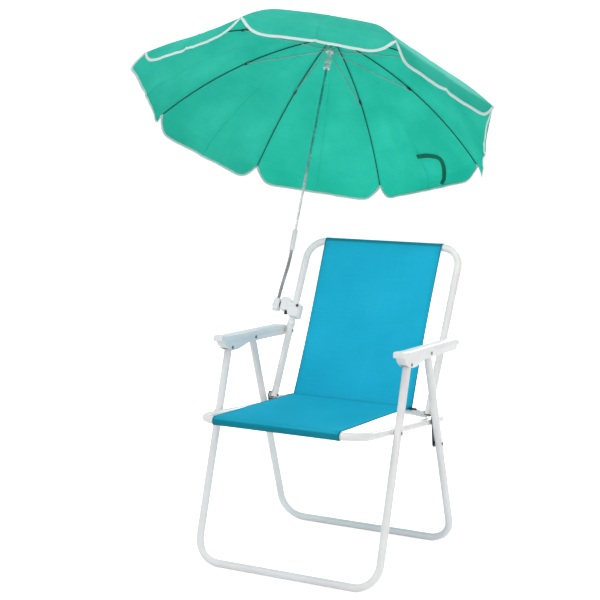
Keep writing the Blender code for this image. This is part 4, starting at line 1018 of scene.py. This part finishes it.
def rib_parts(i):
    """One rib with its saddle, and its stretcher."""
    a = rib_angle(i)
    tangent = U.cross(radial(a))
    rib, arm = f"rib_{i + 1}", f"stretcher_{i + 1}"
    first = NOTCH_R / RIM_R
    points = [bow(a, first + (1 - first) * k / 40, RIB_INSET) for k in range(41)]
    radii = [RIB_R - 0.0004 * (k / 40) ** 3 for k in range(41)]
    solid(f"rib_rod_{i + 1}", sweep_rings(points, radii, tangent, 12), RIB_STEEL, rib, (rib,), 60.0)
    # Saddle at the stretcher's joint
    t = stretcher_joint(a)
    mid = bow(a, t, RIB_INSET)
    way = (bow(a, t + 0.01, RIB_INSET) - bow(a, t - 0.01, RIB_INSET)).normalized()
    down = tangent.cross(way).normalized()
    if down.dot(U) > 0:
        down = -down
    half = 0.0029
    rings = []
    for along, grow in ((-0.0075, 0.55), (-0.0070, 0.9), (-0.0055, 1.0), (0.0055, 1.0), (0.0070, 0.9), (0.0075, 0.55)):
        c = mid + way * along + down * 0.0012
        turns = (math.tau * (k + 0.5) / 16 for k in range(16))
        rings.append([c + tangent * half * squared(math.cos(q), 0.6) * grow + down * half * squared(math.sin(q), 0.6) * grow
                      for q in turns])
    solid(f"rib_saddle_{i + 1}", rings, DARK_METAL, rib, (), 45.0)
    start = pole_point(RING_DEPTH) + radial(a) * RING_R + tangent * STRETCHER_ASIDE
    end = mid - U * 0.0020 + tangent * STRETCHER_ASIDE
    n = (end - start).normalized()
    run = (end - start).length
    # Thicker flattened ends
    steps = mirrored([(0.0, 0.55), (0.0004, 0.9), (0.0015, 1.0), (0.006, 1.0), (0.009, 0.92)], run)
    rings = sweep_rings([start + n * s for s, _ in steps], [STRETCHER_R * k for _, k in steps], tangent, 12)
    solid(f"stretcher_rod_{i + 1}", rings, STRETCHER_STEEL, arm, (arm,), 60.0)


CHORD = 2 * RIM_R * math.sin(math.pi / 8)
# Each panel's valance, from the hem lines in the photo: drop, outward flare, pull of the rim, notch width, twist,
# and how far the cloth stands out between its ribs
SLACK = -0.0016
HEMS = (
    (0.0530, 0.0220, 0.0042, 0.074, 0.000, 0.0060), (0.0473, 0.0110, 0.0043, 0.067, 0.000, SLACK),
    (0.0540, 0.0060, 0.0000, 0.066, 0.034, SLACK), (0.0450, 0.0080, 0.0000, 0.065, 0.000, SLACK),
    (0.0500, 0.0169, 0.0046, 0.067, 0.000, SLACK), (0.0483, 0.0230, 0.0029, 0.065, 0.000, SLACK),
    (0.0400, 0.0260, 0.0100, 0.045, 0.040, SLACK), (0.0440, 0.0168, 0.0075, 0.076, 0.000, SLACK))
TIP = 0.0040
# Length of the cloth along a rib, for its wrinkles
CLOTH_RUN = 0.62


def cloth_point(i, c, along, hem):
    """Outer face of the cloth. c runs from -0.5 to 0.5 across the section, hem from 0 at the rim to 1 at the edge."""
    way = 1 if c >= 0 else -1
    share = abs(c)
    n = i if way == 1 else (i - 1) % 8
    q = share if way == 1 else 1 - share
    a = rib_angle(i)
    base = bow(a, along).lerp(bow(rib_angle(i + way), along), share)
    out_way = radial(rib_angle(i + way * 0.5))
    slope = SLOPE_0 + (SLOPE_1 - SLOPE_0) * along
    normal = (U * math.cos(slope) + out_way * math.sin(slope)).normalized()
    mid = 4 * share * (1 - share)
    x = share * CHORD
    drop, flare, pull, notch, twist, billow = HEMS[n]
    # Slack between the ribs, soft hollows, pulls from the rib tips and the fold down the panel's middle
    soft = noise.noise(Vector((n * 3.7, along * 4.0, q * 3.0))) * 0.0016
    soft += noise.noise(Vector((n * 2.1, along * 9, q * 7))) * 0.0006
    to_top = (1.04 - along) * CLOTH_RUN
    from_tip = (1 - along) * CLOTH_RUN
    tug = math.sin(math.atan2(x, to_top) * 9 + n) * 0.0009 * math.exp(-(from_tip ** 2 + x * x) / 0.012)
    crease = math.exp(-((0.5 - share) * CHORD * along / 0.0035) ** 2)
    press = math.exp(-((along - 0.62 - 0.02 * math.sin(q * 9 + n)) / 0.010) ** 2) * mid * 0.0010
    # Crumples: thin ridges where slow waves of noise pass through zero
    spot = Vector((n * 5.3 + q * 2.6, along * 3.4, n * 0.7))
    fine = math.exp(-(noise.noise(spot) / 0.035) ** 2) * 0.0011
    fine += math.exp(-(noise.noise(spot * 2.3) / 0.05) ** 2) * 0.0004
    lift = billow * mid * along + soft * mid * along + tug * mid + 0.0017 * crease * along - press + fine * mid * along
    base += normal * lift
    base -= out_way * pull * mid * max(0.0, along - 0.55) / 0.45
    if hem > 0:
        left = 1.0 - min(1.0, x / notch)
        depth = (1.0 - left ** 3.0) ** 1.2
        fall = TIP + (drop - TIP) * depth
        ripple = 0.0012 * math.sin(q * 23 + n * 1.9) + 0.0006 * math.sin(q * 51 + n)
        fold = 0.0035 * math.exp(-((0.5 - share) * CHORD / 0.014) ** 2)
        curl = -0.0030 * depth * hem
        out = (flare + twist * (q - 0.5)) * fall / drop + (ripple + fold) * depth * hem + curl
        slope_way = (out_way * math.cos(SLOPE_1) - U * math.sin(SLOPE_1)).normalized()
        side_point = base + (out_way * out - U * fall) * hem + slope_way * 0.012 * hem * (1 - hem) * depth
        rib_way = (bow(a, 1.0) - bow(a, 0.99)).normalized()
        tip_point = base + rib_way * TIP * hem
        near_tip = max(0.0, 1 - x / 0.004)
        base = side_point.lerp(tip_point, near_tip)
    return base


def binding(i, hem_row, above):
    """White tape folded over the hem."""
    rings, uvs = [], []
    for k, (p, run) in enumerate(zip(hem_row, lengths(hem_row))):
        along = heading(hem_row, k)
        up = above[k] - p
        up = (up - along * up.dot(along)).normalized()
        normal = along.cross(up).normalized()
        centre = p + up * 0.0026
        ring = []
        for q in range(12):
            w = math.tau * q / 12
            ring.append(centre + up * 0.0040 * squared(math.cos(w), 0.5)
                        + normal * 0.0010 * math.sin(w) * (1.25 - 0.25 * math.cos(w)))
        rings.append(ring)
        uvs.append([(run, q * 0.0012) for q in range(13)])
    return piece(f"binding_{i + 1}", mapped(rings, uvs, closed=True), BINDING, None, (), 60.0)


def canopy(i):
    """One section of the canopy, half way to both neighbouring ribs, with its hem and the rib's tip."""
    shares = [0.5, 0.495, 0.485, 0.465, 0.44, 0.41, 0.375, 0.34, 0.30, 0.26, 0.22, 0.185, 0.155, 0.13, 0.11, 0.09,
              0.072, 0.056, 0.042, 0.030, 0.020, 0.010, 0.004]
    columns = [-c for c in shares] + [0.0] + shares[::-1]
    rows, uvs = [], []
    first = 0.016
    steps = 44
    for k in range(steps + 1):
        along = first + (1 - first) * k / steps
        rows.append([cloth_point(i, c, along, 0.0) for c in columns])
        uvs.append([(c * CHORD * along, along * BOW_R * (SLOPE_1 - SLOPE_0)) for c in columns])
    for k in range(1, 9):
        hem = k / 8
        rows.append([cloth_point(i, c, 1.0, hem) for c in columns])
        uvs.append([(c * CHORD, BOW_R * (SLOPE_1 - SLOPE_0) + hem * 0.049) for c in columns])
    name = f"canopy_{i + 1}"
    obj = grid_cloth(name, rows, uvs, CANOPY, f"canopy_section_{i + 1}", 0.0006, offset=1.0, smooth=60.0)
    body = f"rib_{i + 1}"
    band = binding(i, rows[-1], rows[-2])
    extra = [strap()] if i == STRAP_PANEL else []
    for soft in [obj, band] + extra:
        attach(soft, body)
        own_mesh(soft)
    # Small ferrule at the rib's tip
    end = bow(rib_angle(i), 1.0, RIB_INSET)
    way = (end - bow(rib_angle(i), 0.98, RIB_INSET)).normalized()
    ferrule = eased([(-0.006, 0), (-0.006, 0.0022), (0.0010, 0.0024), (0.0026, 0.0018), (0.0030, 0)], 0.0006)
    turned(f"rib_tip_{i + 1}", ferrule, end, way, WHITE_PLASTIC, body, sides=16)


# The strap's middle line over the panel between ribs 4 and 5: share across the panel, share of the bow's arc
STRAP_LINE = ((0.517, 0.877), (0.470, 0.879), (0.427, 0.881), (0.387, 0.887), (0.349, 0.895), (0.316, 0.906),
              (0.298, 0.922), (0.297, 0.946), (0.308, 0.975), (0.325, 1.000), (0.331, 1.031), (0.349, 1.057))


STRAP_PANEL = 3
STRAP_SECTION = ((-0.0070, 0.0), (-0.0066, 0.0005), (0.0, 0.0006), (0.0066, 0.0005), (0.0070, 0.0), (0.0066, -0.0005),
                 (0.0, -0.0006), (-0.0066, -0.0005))


def strap():
    """The strap that ties the closed canopy, hanging inside the cloth of one panel."""
    arc_len = BOW_R * (SLOPE_1 - SLOPE_0)
    panel = STRAP_PANEL
    out_way = radial(rib_angle(panel + 0.5))
    inward = -(U * math.cos(SLOPE_1 * 0.9) + out_way * math.sin(SLOPE_1 * 0.9)).normalized()
    points = []
    for q, along in smooth_line(STRAP_LINE, 4):
        hem = max(0.0, along - 1) * arc_len / 0.049
        i, c = (panel, q) if q <= 0.5 else (panel + 1, q - 1)
        points.append(cloth_point(i, c, min(along, 1.0), hem) + inward * 0.0030)
    rings, uvs = [], []
    for k, (p, run) in enumerate(zip(points, lengths(points))):
        way = heading(points, k)
        across = way.cross(inward).normalized()
        up = across.cross(way)
        rings.append([p + across * a + up * b for a, b in STRAP_SECTION])
        uvs.append([(a, run) for a, _ in STRAP_SECTION])
    return piece("tie_strap", mapped(rings, uvs, closed=True), STRAP, None, (), 50.0)


# Build

frame_tubes()
plugs()
crease_bar()
seat_sling()
back_sling()
armrest("left", -1)
armrest("right", 1)
rivets()
holder()
clamp()
socket()
gooseneck()
pole_parts()
for index in range(8):
    rib_parts(index)
    canopy(index)
for name in ("link_plate_left", "link_plate_right"):
    for material_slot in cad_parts[name].material_slots:
        material_slot.material = DARK_METAL


# Floor, light and camera

def background_rays(tree):
    """1 for the rays that show the background: camera, glossy and transmission rays."""
    path = tree.nodes.new("ShaderNodeLightPath")
    shown = path.outputs["Is Camera Ray"]
    for name in ("Is Glossy Ray", "Is Transmission Ray"):
        most = tree.nodes.new("ShaderNodeMath")
        most.operation = "MAXIMUM"
        tree.links.new(shown, most.inputs[0])
        tree.links.new(path.outputs[name], most.inputs[1])
        shown = most.outputs[0]
    return shown


def stage():
    bm = bmesh.new()
    size, rise, bend = 9.0, 6.0, 1.5
    profile = [(-size, 0.0), (size - bend, 0.0)]
    for i in range(1, 13):
        t = math.pi / 2 * i / 12
        profile.append((size - bend + bend * math.sin(t), bend * (1 - math.cos(t))))
    profile.append((size, rise))
    rows = [[bm.verts.new((x, y, z)) for x in (-12.0, 12.0)] for y, z in profile]
    for low, high in zip(rows, rows[1:]):
        bm.faces.new([low[0], low[1], high[1], high[0]])
    mesh = bpy.data.meshes.new("floor")
    bm.to_mesh(mesh)
    bm.free()
    mesh.shade_smooth()
    floor = bpy.data.objects.new("floor", mesh)
    bpy.context.scene.collection.objects.link(floor)
    floor.location.z = -0.0004
    mat = bpy.data.materials.new("floor")
    mat.use_nodes = True
    tree = mat.node_tree
    bsdf = tree.nodes["Principled BSDF"]
    bsdf.inputs["Base Color"].default_value = (0.90, 0.90, 0.90, 1.0)
    bsdf.inputs["Roughness"].default_value = 0.9
    bsdf.inputs["Specular IOR Level"].default_value = 0.0
    scale = tree.nodes.new("ShaderNodeMath")
    scale.operation = "MULTIPLY"
    tree.links.new(background_rays(tree), scale.inputs[0])
    scale.inputs[1].default_value = 0.66
    bsdf.inputs["Emission Color"].default_value = (1.0, 1.0, 1.0, 1.0)
    tree.links.new(scale.outputs[0], bsdf.inputs["Emission Strength"])
    mesh.materials.append(mat)
    world = bpy.data.worlds.new("world")
    bpy.context.scene.world = world
    world.use_nodes = True
    tree = world.node_tree
    back = tree.nodes["Background"]
    span = tree.nodes.new("ShaderNodeMapRange")
    span.inputs["To Min"].default_value = 0.46
    span.inputs["To Max"].default_value = 1.0
    tree.links.new(background_rays(tree), span.inputs["Value"])
    back.inputs["Color"].default_value = (1.0, 1.0, 1.0, 1.0)
    tree.links.new(span.outputs["Result"], back.inputs["Strength"])


def lamp(name, place, aim, size, power):
    light = bpy.data.lights.new(name, "AREA")
    light.shape = "DISK"
    light.size = size
    light.energy = power
    obj = bpy.data.objects.new(name, light)
    bpy.context.scene.collection.objects.link(obj)
    obj.location = place
    obj.rotation_euler = (Vector(aim) - Vector(place)).to_track_quat("-Z", "Y").to_euler()


stage()
lamp("key", (-2.4, -3.4, 2.6), (0.2, 0.0, 0.8), 2.2, 46.0)
lamp("fill", (4.0, -1.7, 0.9), (0.1, 0.1, 0.8), 2.2, 46.0)
lamp("behind", (0.3, 3.8, 1.9), (-0.1, 0.3, 1.1), 2.0, 140.0)
lamp("top", (0.3, -1.4, 3.9), (0.0, 0.0, 0.8), 2.0, 52.0)

# The photo's camera, solved from the tubes' ends and the rivets
AZ, EL = math.radians(28.58), math.radians(8.22)
FAR = 3.3728
TARGET_Z = 0.6555
FOCAL_PIXELS, PICTURE_PIXELS = 1438.49, 600.0
SENSOR_MM = 36.0
away = Vector((math.sin(AZ) * math.cos(EL), -math.cos(AZ) * math.cos(EL), math.sin(EL)))
target = pt(0.0, 0.0, TARGET_Z)
camera_data = bpy.data.cameras.new("camera")
camera_data.sensor_width = SENSOR_MM
camera_data.lens = SENSOR_MM * FOCAL_PIXELS / PICTURE_PIXELS
camera = bpy.data.objects.new("camera", camera_data)
bpy.context.scene.collection.objects.link(camera)
camera.location = target + away * FAR
camera.rotation_euler = (-away).to_track_quat("-Z", "Y").to_euler()
bpy.context.scene.camera = camera
bpy.context.scene.view_settings.view_transform = "Standard"
